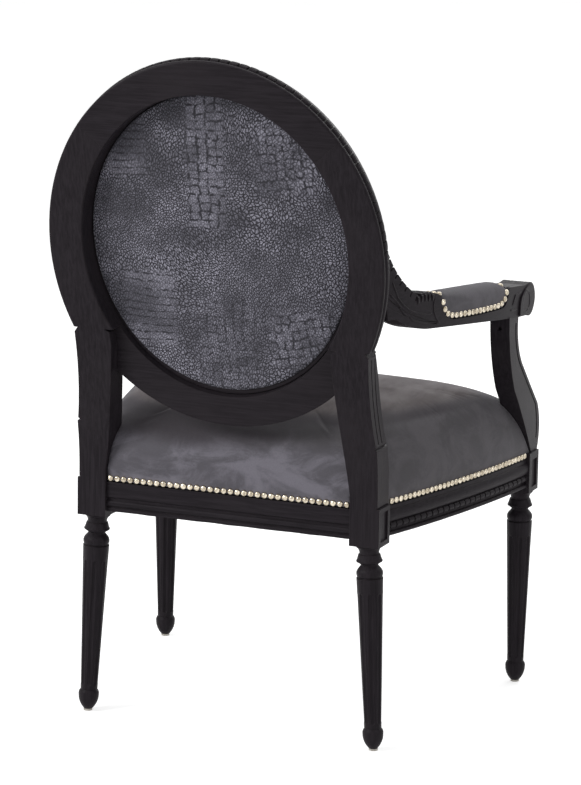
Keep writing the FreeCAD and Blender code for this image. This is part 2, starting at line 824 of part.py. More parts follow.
def arm(stile):
    """Left arm, fitted over the moulded front of the stile."""
    body = slab(arm_outline(), V(1, 0, 0), 4 * front_outer_x)
    body = body.common(arm_plan().extrude(UP * 2000)).cut(stile)
    body = max(body.Solids, key=lambda s: s.Volume)
    sunk = scroll_ring().fuse(slab(arm_flute(), V(1, 0, 0), 4 * front_outer_x))
    sunk = sunk.cut(arm_plan(carving_sink).extrude(UP * 2000))
    body = body.cut([sunk] + lobe_cuts() + arm_ribbon_cuts())
    return body.fuse(arm_tenon(0)).removeSplitter().cut(post_head_tenon(tenon_clearance))


def post_head():
    """Height of the arm's underside at the front of the post."""
    return arm_height - 1


def post_rear_edge(gap=0.0):
    """Rear edge of the arm support from its head down to its foot, as steps of an outline."""
    foot = front_block_top
    front = front_front_y + gap
    top = front + post_set_back + post_top_depth
    return [
        (top, post_head() + 6),
        ((top - 7, foot + 186), (front + 120, foot + 118)),
        ((front + 75, foot + 64), (front + post_foot_depth, foot)),
    ]


def post_outline():
    """Side outline of the arm support: bellied over the block, sweeping back and up to the arm."""
    foot = front_block_top
    front = front_front_y
    top_front = front + post_set_back
    return outline(
        side_point,
        (front + 1, foot),
        ((front - 7.5, foot + 38), (front + 5, foot + 78)),
        ((front + 44, foot + 115), (front + 85, foot + 155)),
        ((top_front - 5, foot + 190), (top_front, post_head())),
        *post_rear_edge(),
    )


def post_x():
    return front_outer_x - post_inset - post_width / 2


def post_foot_tenon(gap):
    x = post_x()
    y = front_front_y + post_foot_depth / 2 + 2
    half = post_tenon / 2 + gap
    z = front_block_top
    return box(x - half, x + half, y - half, y + half, z - post_tenon_depth + 1 - gap, z + 2)


def post_head_tenon(gap):
    x = post_x()
    y = front_front_y + post_set_back + post_top_depth / 2
    half = post_tenon / 2 + gap
    z = post_head()
    return box(x - half, x + half, y - half, y + half, z - 4, z + post_tenon_depth + gap)


def post_flute():
    """Shallow flute down the outer side of the post, following its front edge."""
    foot = front_block_top
    front = front_front_y + 9
    top_front = front + post_set_back
    wide = 4.5
    face = outline(
        side_point,
        (front - 3, foot + 20),
        ((front - 4, foot + 42), (front + 5, foot + 78)),
        ((front + 44, foot + 115), (front + 85, foot + 155)),
        ((top_front - 5, foot + 190), (top_front, post_head() - 8)),
        (top_front + wide, post_head() - 8),
        ((top_front - 5 + wide, foot + 190), (front + 85 + wide, foot + 155)),
        ((front + 44 + wide, foot + 115), (front + 5 + wide, foot + 78)),
        ((front - 4 + wide, foot + 42), (front - 3 + wide, foot + 20)),
    )
    flute = face.extrude(V(9, 0, 0))
    flute.translate(V(post_x() + post_width / 2 - carving_sink, 0, 0))
    return flute


def arm_post(arm_solid):
    """Left arm support, cut to the underside of the arm, with the plug hole of its fixing screw."""
    x = post_x()
    post = slab(post_outline(), V(1, 0, 0), post_width)
    post.translate(V(x, 0, 0))
    post = post.cut(arm_solid)
    post = max(post.Solids, key=lambda s: s.Volume)
    rear = front_front_y + post_set_back + post_top_depth
    start = V(x, rear - plug_hole_depth - 1.5, arm_height - plug_hole_drop)
    hole = Part.makeCylinder(plug_hole_diameter / 2, plug_hole_depth + 9, start, V(0, 1, 0))
    return post.fuse([post_foot_tenon(0), post_head_tenon(0)]).removeSplitter().cut([hole, post_flute()])


def seat_edge(inset):
    """Half-plan corner points of the seat, drawn in by inset."""
    back = rear_back_y - back_rail_recess - inset
    front = front_front_y + side_rail_recess + inset
    rear_x = rear_outer_x - side_rail_recess - inset
    front_x = front_outer_x - side_rail_recess - inset
    return back, front, rear_x, front_x


def bent_edge(a, b, c):
    """Arc through three points, or a line where they lie in one."""
    if abs((b - a).cross(c - a).z) < 1e-6:
        return Part.LineSegment(a, c).toShape()
    return Part.Arc(a, b, c).toShape()


def seat_ring(inset, scale, corner, z):
    """Plan of the seat drawn in by inset, then scaled about its middle: bowed sides, rounded corners."""
    back, front, rear_x, front_x = seat_edge(inset)
    middle = (back + front) / 2
    slope = (front_x - rear_x) / (back - front)
    k = corner * 0.3

    def side(y):
        bow = side_rail_bow * (1 - ((2 * y - back - front) / (back - front)) ** 2)
        return (rear_x + (back - y) * slope + bow, y)

    def nose(x):
        return (x, front - front_rail_bow * (1 - (x / front_x) ** 2))

    half = [
        ((0, back), ((rear_x - corner) / 2, back), (rear_x - corner, back)),
        ((rear_x - corner, back), (rear_x - k, back - k), side(back - corner)),
        (side(back - corner), side(middle), side(front + corner)),
        (side(front + corner), (front_x - k, front + k - 1), nose(front_x - corner)),
        (nose(front_x - corner), nose((front_x - corner) / 2), nose(0)),
    ]
    turned = [tuple((-x, y) for x, y in reversed(step)) for step in reversed(half)]
    edges = []
    for step in half + turned:
        edges.append(bent_edge(*[V(x * scale, middle + (y - middle) * scale, z) for x, y in step]))
    return Part.Wire(edges)


def seat_form(inset, foot):
    """Crowned seat closing in towards its top, drawn in all round by inset."""
    rise = seat_crown_height - inset - rebate_height
    rings = 9
    wires = [seat_ring(inset, 1.0, seat_corner, foot)]
    for k in range(1, rings + 1):
        angle = math.radians(k * 87.0 / rings)
        scale = math.cos(angle) ** (2 / seat_fullness)
        height = math.sin(angle) ** (2 / seat_fullness)
        corner = seat_corner + (seat_top_corner - seat_corner) * (1 - scale) ** 0.7
        wires.append(seat_ring(inset, scale, corner, rebate_height + rise * height))
    return Part.makeLoft(wires, True, False)


def seat_notches(gap):
    """Spaces cut out of the seat for the stiles, the front blocks and the arm posts."""
    body = stile_body()
    spaces = []
    for shift in (V(-gap, 0, 0), V(0, -gap, 0), V(-gap, -gap, 0)):
        space = body.copy()
        space.translate(shift)
        spaces.append(space)
    far = 99.0
    side = stile_profile().extrude(V(far, 0, 0))
    side.translate(V(rear_block_x, -gap, 0))
    spaces.append(side)
    x0, x1 = rear_inner_x - gap, rear_outer_x + far
    spaces.append(box(x0, x1, rear_front_y - gap, rear_back_y + far, block_bottom, rear_block_top))
    x0, x1 = front_inner_x - gap, front_outer_x + far
    spaces.append(box(x0, x1, front_front_y - far, front_rear_y + gap, block_bottom, front_block_top + gap))
    ahead = front_front_y - far
    face = outline(side_point, (ahead, front_block_top), (ahead, post_head()), *post_rear_edge(gap))
    post = face.extrude(V(post_width + far, 0, 0))
    post.translate(V(post_x() - post_width / 2 - gap, 0, 0))
    spaces.append(post)
    return spaces + [mirrored(space) for space in spaces]


def seat_cover():
    outside = seat_form(0.0, rebate_height + soft_gap)
    inside = seat_form(cover_thickness, rebate_height - 5)
    cover = outside.cut(inside).cut(seat_notches(2 * soft_gap))
    return max(cover.Solids, key=lambda s: s.Volume)


def seat_foam():
    base = rail_top + 2 * webbing_thickness + soft_gap
    foam = seat_form(cover_thickness + soft_gap, rebate_height - 5)
    wide = 2 * front_outer_x
    foam = foam.cut(box(-wide, wide, -wide, wide, 0, base))
    foam = foam.cut(seat_notches(cover_thickness + 2))
    return max(foam.Solids, key=lambda s: s.Volume)


def seat_half_width(y):
    """Half the width between the outer faces of the side rails at y."""
    rear, front = side_rail_ends()
    centre, radius, a0, a1 = rail_circle(rear, front, side_rail_bow)
    return centre.x + math.sqrt(radius * radius - (y - centre.y) ** 2)


def cross_straps():
    """Webbing straps from side rail to side rail."""
    straps = []
    count = 5
    for k in range(count):
        y = front_rear_y + 40 + k * (rear_front_y - front_rear_y - 80) / (count - 1)
        half = seat_half_width(y + strap_width / 2) - rebate_depth - 7
        y0, y1 = y - strap_width / 2, y + strap_width / 2
        straps.append(box(-half, half, y0, y1, rail_top, rail_top + webbing_thickness))
    return Part.makeCompound(straps)


def long_straps():
    """Webbing straps from the back rail to the front rail, over the cross straps."""
    straps = []
    count = 5
    pitch = 2 * (rear_inner_x - strap_width / 2 - 12) / (count - 1)
    z = rail_top + webbing_thickness
    rear = rear_back_y - back_rail_recess - rebate_depth - 5
    front = front_front_y + side_rail_recess + rebate_depth + 5
    for k in range(count):
        x = (k - (count - 1) / 2) * pitch
        straps.append(box(x - strap_width / 2, x + strap_width / 2, front, rear, z, z + webbing_thickness))
    return Part.makeCompound(straps)


def corner_block(front, solids):
    """Diagonal brace in a left corner of the seat frame, fitted to the rails and the leg block."""
    reach, thick = 92.0, 24.0
    if front:
        corner = V(front_outer_x - side_rail_recess - 14, front_front_y + side_rail_recess + 14, 0)
        turn = 1
    else:
        corner = V(rear_outer_x - side_rail_recess - 14, rear_back_y - back_rail_recess - 14, 0)
        turn = -1
    points = [
        (corner.x, corner.y + turn * reach),
        (corner.x - reach, corner.y),
        (corner.x - reach - thick, corner.y),
        (corner.x, corner.y + turn * (reach + thick)),
    ]
    brace = outline(plan_point, *points).extrude(UP * 30)
    brace.translate(UP * (rail_bottom + 16))
    brace = brace.cut(solids)
    return max(brace.Solids, key=lambda s: s.Volume)


def dust_cover():
    """Thin cloth under the seat, against the bottoms of the rails."""
    gap = 6.0
    y0 = front_rear_y + gap
    y1 = rear_front_y - gap
    points = [(seat_half_width(y1) - 8, y1), (seat_half_width(y0) - 8, y0)]
    inner = front_inner_x - gap
    nose = front_front_y + side_rail_recess + 6
    back = rear_back_y - back_rail_recess - 6
    face = outline(
        plan_point,
        (rear_inner_x - gap, back), (rear_inner_x - gap, y1), points[0],
        ((seat_half_width(0) - 8, 0), points[1]),
        (inner, y0), (inner, nose), (-inner, nose), (-inner, y0), (-points[1][0], y0),
        ((-seat_half_width(0) + 8, 0), (-points[0][0], y1)),
        (-rear_inner_x + gap, y1), (-rear_inner_x + gap, back),
    )
    sheet = face.extrude(UP * -1.0)
    sheet.translate(UP * rail_bottom)
    return sheet


def back_board():
    """Stiff panel against the ledge inside the oval."""
    face = panel_ledge_depth - board_thickness
    stations = [(face, 0), (panel_ledge_depth, 0)]
    return in_opening(ellipse_loft(inner_a - board_trim, inner_b - board_trim, stations))


def outside_back_cover():
    """Crowned fabric panel on the rear of the board."""
    a, b = inner_a - board_trim, inner_b - board_trim
    base = panel_ledge_depth - board_thickness
    rim = base - 2.5
    crown = ((a * 0.55, rim - outside_back_crown * 0.7), (0, rim - outside_back_crown))
    return in_opening(domed(a, b, [(0, base), (a, base), (a, rim), crown]))


def back_webbing():
    """Elastic straps across the front of the oval, under the pad."""
    straps = []
    z = frame_depth
    for v in (-inner_b / 2, 0.0, inner_b / 2):
        low, high = v - strap_width / 2, v + strap_width / 2
        edge = max(abs(low), abs(high))
        half = inner_a * math.sqrt(1 - (edge / inner_b) ** 2) + back_pad_overlap / 2
        straps.append(box(-half, half, low, high, z, z + webbing_thickness))
    return in_opening(Part.makeCompound(straps))


def back_pad_form(inset, base):
    """Crowned back pad over the front of the oval, rounded at its nailed edge, drawn in by inset."""
    a, b = inner_a + back_pad_overlap - inset, inner_b + back_pad_overlap - inset
    top = frame_depth + back_pad_depth - inset
    shoulder = frame_depth + back_pad_depth * 0.48 - inset * 0.5
    side = frame_depth + back_pad_depth * 0.26
    profile = [
        (0, base), (a, base), (a, frame_depth),
        ((a + 0.5, side), (a - 9, shoulder)),
        ((a * 0.56, top - (top - shoulder) * 0.26), (0, top)),
    ]
    return domed(a, b, profile)


def inside_back_cover():
    outside = back_pad_form(0.0, frame_depth)
    inside = back_pad_form(cover_thickness, frame_depth - 1)
    return in_opening(outside.cut(inside))


def inside_back_foam():
    form = back_pad_form(cover_thickness + soft_gap, frame_depth - 1)
    wide = 2 * inner_b
    base = frame_depth + webbing_thickness + soft_gap
    return in_opening(form.cut(box(-wide, wide, -wide, wide, 0, base)))


def arm_pad(arm_solid):
    """Crowned armrest pad in the scooped bed, nailed at its edge."""
    front, rear = pad_front_y, pad_rear_y
    low = bed_front_z - 20
    middle = (front + rear) / 2
    face = outline(
        side_point,
        (front - 1, low), (front + 1, pad_front_z - 8),
        ((front + 12, pad_front_z + 1), (front + 36, pad_front_z + 6)),
        ((middle, (pad_front_z + pad_rear_z) / 2 + 6), (rear - 36, pad_rear_z)),
        ((rear - 12, pad_rear_z + 1), (rear - 1, pad_rear_z - 2)), (rear, low),
    )
    pad = slab(face, V(1, 0, 0), 4 * front_outer_x).common(arm_plan(soft_gap).extrude(UP * 2000))
    pad = pad.common(pad_crown())
    for shift in (V(0, 0, soft_gap), V(0, soft_gap, 0), V(0, -soft_gap, 0)):
        fat = arm_solid.copy()
        fat.translate(shift)
        pad = pad.cut(fat)
    return max(pad.Solids, key=lambda s: s.Volume)


def pad_crown():
    """Bar along the arm whose section has the pad's rounded top."""
    outer_f, inner_f = arm_lines(pad_front_y)
    outer_r, inner_r = arm_lines(pad_rear_y)
    half = max(outer_f - inner_f, outer_r - inner_r) / 2 + 1
    rise = half * 0.8
    section = outline(front_point, (-half, -70), (half, -70), (half, -rise), ((0, 4), (-half, -rise)))
    start = V((outer_f + inner_f) / 2, pad_front_y - 9, pad_front_z)
    end = V((outer_r + inner_r) / 2, pad_rear_y + 9, pad_rear_z)
    bar = section.extrude(end - start)
    bar.translate(start)
    return bar


def glide(x, y, splay, kick):
    centre = foot_centre(x, y, splay, kick)
    return Part.makeCylinder(foot_end_radius, glide_height, V(centre.x, centre.y, 0))


def build():
    parts = {}
    stile = rear_stile()
    gap = tenon_clearance
    leg = front_leg().cut([side_tenon(True, gap), cross_tenon(True, gap), post_foot_tenon(gap)])
    rail = side_rail()
    nose = front_rail()
    tail = back_rail()
    arm_solid = arm(stile)
    post = arm_post(arm_solid)
    sides = {
        "rear_stile": stile,
        "front_leg": leg,
        "side_rail": rail,
        "arm": arm_solid,
        "arm_post": post,
        "arm_pad": arm_pad(arm_solid),
        "front_corner_block": corner_block(True, [leg, rail, nose]),
        "rear_corner_block": corner_block(False, [stile, rail, tail]),
        "rear_glide": glide(rear_block_x, rear_block_y, rear_leg_splay, rear_leg_kick),
        "front_glide": glide(front_block_x, front_block_y, 0, 0),
    }
    for name, solid in sides.items():
        parts[name + "_left"] = solid
        parts[name + "_right"] = mirrored(solid)
    parts["crest_rail"] = crest_rail()
    parts["lower_back_rail"] = lower_back_rail(stile)
    parts["front_rail"] = nose
    parts["back_rail"] = tail
    parts["seat_cross_webbing"] = cross_straps()
    parts["seat_long_webbing"] = long_straps()
    parts["seat_foam"] = seat_foam()
    parts["seat_cover"] = seat_cover()
    parts["dust_cover"] = dust_cover()
    parts["back_board"] = back_board()
    parts["outside_back_cover"] = outside_back_cover()
    parts["back_webbing"] = back_webbing()
    parts["inside_back_foam"] = inside_back_foam()
    parts["inside_back_cover"] = inside_back_cover()
    return parts


def main():
    parts = build()
    spans = [parts[name].optimalBoundingBox() for name in ("front_rail", "crest_rail", "outside_back_cover")]
    low = min(span.YMin for span in spans)
    high = max(span.YMax for span in spans)
    os.makedirs("parts", exist_ok=True)
    for name, shape in parts.items():
        shape.translate(V(0, -(low + high) / 2, 0))
        shape.exportStep(os.path.join("parts", name + ".step"))
        state = "valid" if shape.isValid() else "INVALID"
        print(name, len(shape.Solids), state, round(shape.Volume / 1000, 1))
    print("depth", round(high - low, 2), "shift", round((low + high) / 2, 3))


main()
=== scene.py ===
import math
from math import cos, pi, radians, sin

import bmesh
import bpy
import numpy as np
from mathutils import Matrix, Vector
from mathutils.bvhtree import BVHTree


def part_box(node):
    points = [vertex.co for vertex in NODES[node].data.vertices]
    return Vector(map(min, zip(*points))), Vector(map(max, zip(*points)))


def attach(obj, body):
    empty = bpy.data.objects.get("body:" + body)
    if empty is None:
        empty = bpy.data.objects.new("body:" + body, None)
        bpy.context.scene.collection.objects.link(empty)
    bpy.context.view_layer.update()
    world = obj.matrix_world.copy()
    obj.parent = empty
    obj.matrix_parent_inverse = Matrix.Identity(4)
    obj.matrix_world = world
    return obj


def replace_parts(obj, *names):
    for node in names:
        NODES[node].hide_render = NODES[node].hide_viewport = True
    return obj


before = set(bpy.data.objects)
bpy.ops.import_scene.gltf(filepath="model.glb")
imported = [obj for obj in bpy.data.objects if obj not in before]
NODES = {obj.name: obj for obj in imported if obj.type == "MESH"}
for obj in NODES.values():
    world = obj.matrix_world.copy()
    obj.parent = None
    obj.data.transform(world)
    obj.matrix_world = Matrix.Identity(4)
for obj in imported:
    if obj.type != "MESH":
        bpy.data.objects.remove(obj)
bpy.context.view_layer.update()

# Black oval-back armchair, dressed for the picture. Metres; the chair faces -Y.
# Points and sizes are the chair's own working millimetres, unless a comment says metres.

MM = 0.001
FRONT_FOOT_Y = -223.0
foot_low, foot_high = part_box("front_glide_left")
Y_SHIFT = (foot_low.y + foot_high.y) / 2 - FRONT_FOOT_Y * MM
SIDES = (("left", 1), ("right", -1))

RAKE = radians(10.0)
OVAL_Y, OVAL_Z = 303.5, 759.0
OUTER_A, OUTER_B = 273.5, 299.2
INNER_A, INNER_B = 216.7, 241.3
OPENING_LIFT = 5.4
FRAME_DEPTH = 40.0


def at(x, y, z):
    """Point given in working millimetres, in the frame's metres."""
    return Vector((x * MM, y * MM + Y_SHIFT, z * MM))


def on_back(u, v, depth):
    """Point of the raked back: u across, v up the slope, depth in front of the rear face."""
    y = OVAL_Y + v * sin(RAKE) - depth * cos(RAKE)
    z = OVAL_Z + v * cos(RAKE) + depth * sin(RAKE)
    return at(u, y, z)


def in_opening(u, v, depth):
    """The same, measured from the middle of the oval's opening."""
    return on_back(u, v + OPENING_LIFT, depth)


BACK_OUT = Vector((0, cos(RAKE), -sin(RAKE)))


# Node materials

class Graph:
    """The nodes of a material, or of a world, under construction."""

    def __init__(self, name, kind="materials", shader="Principled BSDF"):
        self.owner = getattr(bpy.data, kind).new(name)
        self.owner.use_nodes = True
        self.tree = self.owner.node_tree
        self.shader = self.tree.nodes[shader]
        self.coords = self.tree.nodes.new("ShaderNodeTexCoord").outputs["Object"]

    def put(self, target, value):
        if isinstance(value, bpy.types.NodeSocket):
            self.tree.links.new(value, target)
        else:
            target.default_value = value

    def node(self, kind, inputs=None, **settings):
        made = self.tree.nodes.new("ShaderNode" + kind)
        for key, value in settings.items():
            setattr(made, key, value)
        for key, value in (inputs or {}).items():
            self.put(made.inputs[key], value)
        return made

    def calc(self, operation, a, b=0.0, kind="Math"):
        return self.node(kind, {0: a, 1: b}, operation=operation).outputs[0]

    def sum(self, a, b):
        return self.calc("ADD", a, b)

    def less(self, a, b):
        return self.calc("SUBTRACT", a, b)

    def mul(self, a, b):
        return self.calc("MULTIPLY", a, b)

    def weigh(self, a, share_a, b, share_b):
        return self.sum(self.mul(a, share_a), self.mul(b, share_b))

    def times(self, vector, factor):
        """A vector or colour, times a number."""
        return self.node("VectorMath", {0: vector, "Scale": factor}, operation="SCALE").outputs[0]

    def split(self, vector):
        return self.node("SeparateXYZ", {0: vector}).outputs[:]

    def scaled(self, scale, vector=None, turn=(0, 0, 0)):
        source = self.coords if vector is None else vector
        inputs = {"Vector": source, "Scale": scale, "Rotation": turn}
        return self.node("Mapping", inputs).outputs[0]

    def noise(self, vector, scale, detail=3.0, rough=0.5, distort=0.0):
        inputs = {"Vector": vector, "Scale": scale, "Detail": detail, "Roughness": rough,
                  "Distortion": distort}
        return self.node("TexNoise", inputs).outputs["Fac"]

    def fit(self, value, low, high, new_low=0.0, new_high=1.0):
        """The value, eased from its range low to high into the new one."""
        inputs = {0: value, 1: low, 2: high, 3: new_low, 4: new_high}
        return self.node("MapRange", inputs, interpolation_type="SMOOTHSTEP").outputs[0]

    def mix(self, share, a, b):
        """Colour a, turning to colour b as share grows."""
        made = self.node("Mix", data_type="RGBA")
        colours = [s for s in made.inputs if s.type == "RGBA"]
        self.put(made.inputs[0], share)
        self.put(colours[0], a if isinstance(a, bpy.types.NodeSocket) else (*a, 1))
        self.put(colours[1], b if isinstance(b, bpy.types.NodeSocket) else (*b, 1))
        return [s for s in made.outputs if s.type == "RGBA"][0]

    def blend(self, share, a, b):
        """The same for plain numbers."""
        made = self.node("Mix", {0: share}, data_type="FLOAT")
        floats = [s for s in made.inputs if s.type == "VALUE"]
        self.put(floats[1], a)
        self.put(floats[2], b)
        return made.outputs[0]

    def bump(self, height, strength, distance, normal=None):
        inputs = {"Height": height, "Strength": strength, "Distance": distance}
        if normal is not None:
            inputs["Normal"] = normal
        return self.node("Bump", inputs).outputs[0]

    def set(self, **values):
        names = {
            "base": "Base Color", "rough": "Roughness", "normal": "Normal", "metal": "Metallic",
            "sheen": "Sheen Weight", "sheen_rough": "Sheen Roughness", "sheen_tint": "Sheen Tint",
            "specular": "Specular IOR Level",
        }
        for key, value in values.items():
            self.put(self.shader.inputs[names[key]], value)
        return self.owner


def edge_mask(g, radius):
    """Rounded normal near edges, and a mask that is 1 on sharp edges."""
    rounded = g.node("Bevel", {"Radius": radius}, samples=4).outputs[0]
    plain = g.node("NewGeometry").outputs["Normal"]
    close = g.node("VectorMath", {0: rounded, 1: plain}, operation="DOT_PRODUCT")
    return rounded, g.fit(close.outputs["Value"], 0.995, 0.86)


def painted_wood(name, grain):
    """Satin black paint over open-grained hardwood. grain is the axis the fibres run along."""
    g = Graph(name)
    along = {"x": (2.2, 46, 46), "y": (46, 2.2, 46), "z": (46, 46, 2.2)}[grain]
    vector = g.scaled(along)
    fibre = g.noise(vector, 6.0, 8.0, 0.68, 0.4)
    pore = g.noise(g.scaled(tuple(s * 3.2 for s in along)), 5.0, 4.0, 0.6)
    cloud = g.noise(g.coords, 9.0, 3.0, 0.55)
    rounded, edge = edge_mask(g, 0.0016)
    colour = g.mix(g.fit(fibre, 0.34, 0.68), (0.0136, 0.0112, 0.0136), (0.024, 0.0202, 0.0242))
    colour = g.mix(g.mul(g.fit(cloud, 0.4, 0.75), 0.5), colour, (0.0262, 0.0222, 0.0255))
    worn = g.fit(g.noise(g.coords, 70.0, 3.0, 0.6), 0.35, 0.75, 0.1, 0.75)
    colour = g.mix(g.mul(edge, worn), colour, (0.04, 0.034, 0.034))
    rough = g.fit(g.weigh(fibre, 0.6, cloud, 0.4), 0.3, 0.7, 0.32, 0.46)
    relief = g.weigh(g.fit(pore, 0.36, 0.6), 0.6, fibre, 0.5)
    normal = g.bump(relief, 0.3, 0.0004, rounded)
    return g.set(base=colour, rough=rough, normal=normal, specular=0.05)


def bare_wood(name):
    """Unpainted beech inside the seat."""
    g = Graph(name)
    fibre = g.noise(g.scaled((5, 60, 60)), 7.0, 7.0, 0.62, 0.3)
    fleck = g.noise(g.scaled((40, 300, 300)), 6.0, 2.0, 0.5)
    colour = g.mix(g.fit(fibre, 0.3, 0.7), (0.36, 0.225, 0.125), (0.52, 0.36, 0.22))
    colour = g.mix(g.fit(fleck, 0.58, 0.75, 0.0, 0.5), colour, (0.25, 0.14, 0.07))
    normal = g.bump(fibre, 0.3, 0.0004)
    return g.set(base=colour, rough=g.fit(fibre, 0.3, 0.7, 0.55, 0.72), normal=normal, specular=0.4)


def pile(g):
    """Fine velvet pile: height of the fibres and a soft brushed cloud."""
    fibre = g.noise(g.coords, 2300.0, 2.0, 0.7)
    tuft = g.noise(g.coords, 620.0, 3.0, 0.6)
    brushed = g.noise(g.scaled((5, 8, 9)), 2.2, 5.0, 0.62, 0.6)
    return g.weigh(fibre, 0.5, tuft, 0.5), brushed


def plain_velvet(name, low, high):
    """Smooth grey velvet whose brushed pile turns light and dark."""
    g = Graph(name)
    fibre, brushed = pile(g)
    colour = g.mix(g.fit(brushed, 0.34, 0.66), low, high)
    return finished_velvet(g, colour, fibre, brushed)


def finished_velvet(g, colour, fibre, brushed):
    """Adds the pile's grain, relief and sheen to a velvet's colour."""
    colour = g.times(colour, g.fit(fibre, 0.3, 0.7, 0.86, 1.12))
    normal = g.bump(fibre, 0.35, 0.0005)
    rough = g.fit(brushed, 0.3, 0.7, 0.62, 0.8)
    return g.set(base=colour, rough=rough, normal=normal, specular=0.2,
                 sheen=0.22, sheen_rough=0.45, sheen_tint=(0.78, 0.76, 0.82, 1))


def turned_velvet(name):
    """The seat's velvet, with painted light and shade: paler at the rear foot, darker on the sides and
    front, a painted shadow where it turns over, and its own warmer tone on the top.
    """
    g = Graph(name)
    fibre, brushed = pile(g)
    x, y, z = g.split(g.coords)
    wander = g.less(g.noise(g.scaled((1, 0.5, 0.3)), 6.0, 1.0, 0.5), 0.5)
    feather = g.less(g.noise(g.coords, 48.0, 4.0, 0.65), 0.5)
    height = g.sum(g.sum(z, g.mul(x, 0.05)), g.weigh(wander, 0.03, feather, 0.01))
    lifted = g.mul(g.fit(y, 0.13, 0.185, 0.03, 0.0), g.fit(z, 0.48, 0.508, 1.0, 0.0))
    height = g.less(height, lifted)
    # Painted light and shade: a paler copy of the velvet for the seat's rear foot, a darker copy for its
    # sides and front.
    foot = g.mix(g.fit(brushed, 0.4, 0.62), (0.084, 0.079, 0.092), (0.168, 0.159, 0.186))
    side = g.mix(g.fit(brushed, 0.36, 0.64), (0.056, 0.052, 0.057), (0.094, 0.088, 0.096))
    foot = g.mix(g.fit(y, 0.15, 0.182), side, foot)
    # Painted light and shade: the top gets its own darker, warmer copy of the velvet, with streaks.
    streak = g.noise(g.scaled((10, 3, 10), None, (0, 0, 0.4)), 3.0, 4.0, 0.6)
    crown = g.mix(g.fit(streak, 0.34, 0.66), (0.074, 0.06, 0.059), (0.132, 0.116, 0.115))
    colour = g.mix(g.fit(height, 0.456, 0.492), foot, crown)
    # Painted shade: a dark band where the cover turns over from the top down to the foot, strongest
    # towards the rear.
    band = g.mul(g.fit(height, 0.44, 0.46), g.fit(height, 0.466, 0.5, 1.0, 0.0))
    weight = g.fit(y, -0.17, -0.05, 0.3, 0.84)
    colour = g.mix(g.mul(band, weight), colour, (0.03, 0.025, 0.03))
    return finished_velvet(g, colour, fibre, brushed)


def ramp_mask(g, value, centre, half, soft):
    """1 within half of the centre, falling to 0 over the soft length."""
    away = g.calc("ABSOLUTE", g.less(value, centre))
    return g.fit(away, half, half + soft, 1.0, 0.0)


def cells(g, vector, randomness):
    """Distance from the nearest crease of a net of scales, in cells, and each scale's own shade."""

    def net(feature):
        inputs = {"Vector": vector, "Scale": 1.0, "Randomness": randomness}
        return g.node("TexVoronoi", inputs, voronoi_dimensions="2D", feature=feature)

    return net("DISTANCE_TO_EDGE").outputs["Distance"], g.split(net("F1").outputs["Color"])[0]


# Fields of larger scales on the outside back, in metres from the middle of the oval's opening: centre
# and half size across, then centre and half size up.
PLATES = ((0.014, 0.026, 0.134, 0.098),)
BANDS = ((0.146, 0.028, 0.16, 0.047), (0.12, 0.038, -0.1, 0.052))
GRIDS = ((-0.115, 0.037, 0.145, 0.043), (-0.13, 0.045, -0.132, 0.036))
FAINT = ((-0.006, 0.044, -0.15, 0.062),)
# Darker spots there, in metres: centre across and up, and size, with the light that each takes.
# The three at about 0.15 across reach the left edge of the opening: painted shadow of its reveal.
SPOTS = ((-0.13, 0.037, 0.03, 0.16), (-0.034, 0.05, 0.026, 0.14), (0.16, 0.07, 0.04, 0.14),
         (0.11, -0.005, 0.02, 0.12), (0.15, 0.165, 0.055, 0.22), (0.06, 0.205, 0.03, 0.14),
         (0.145, -0.095, 0.06, 0.26))


def fields(g, u, v, places, soft):
    """1 inside any of the places given, with soft edges."""
    total = None
    for centre_u, half_u, centre_v, half_v in places:
        field = g.mul(ramp_mask(g, u, centre_u, half_u, soft), ramp_mask(g, v, centre_v, half_v, soft))
        total = field if total is None else g.calc("MAXIMUM", total, field)
    return total


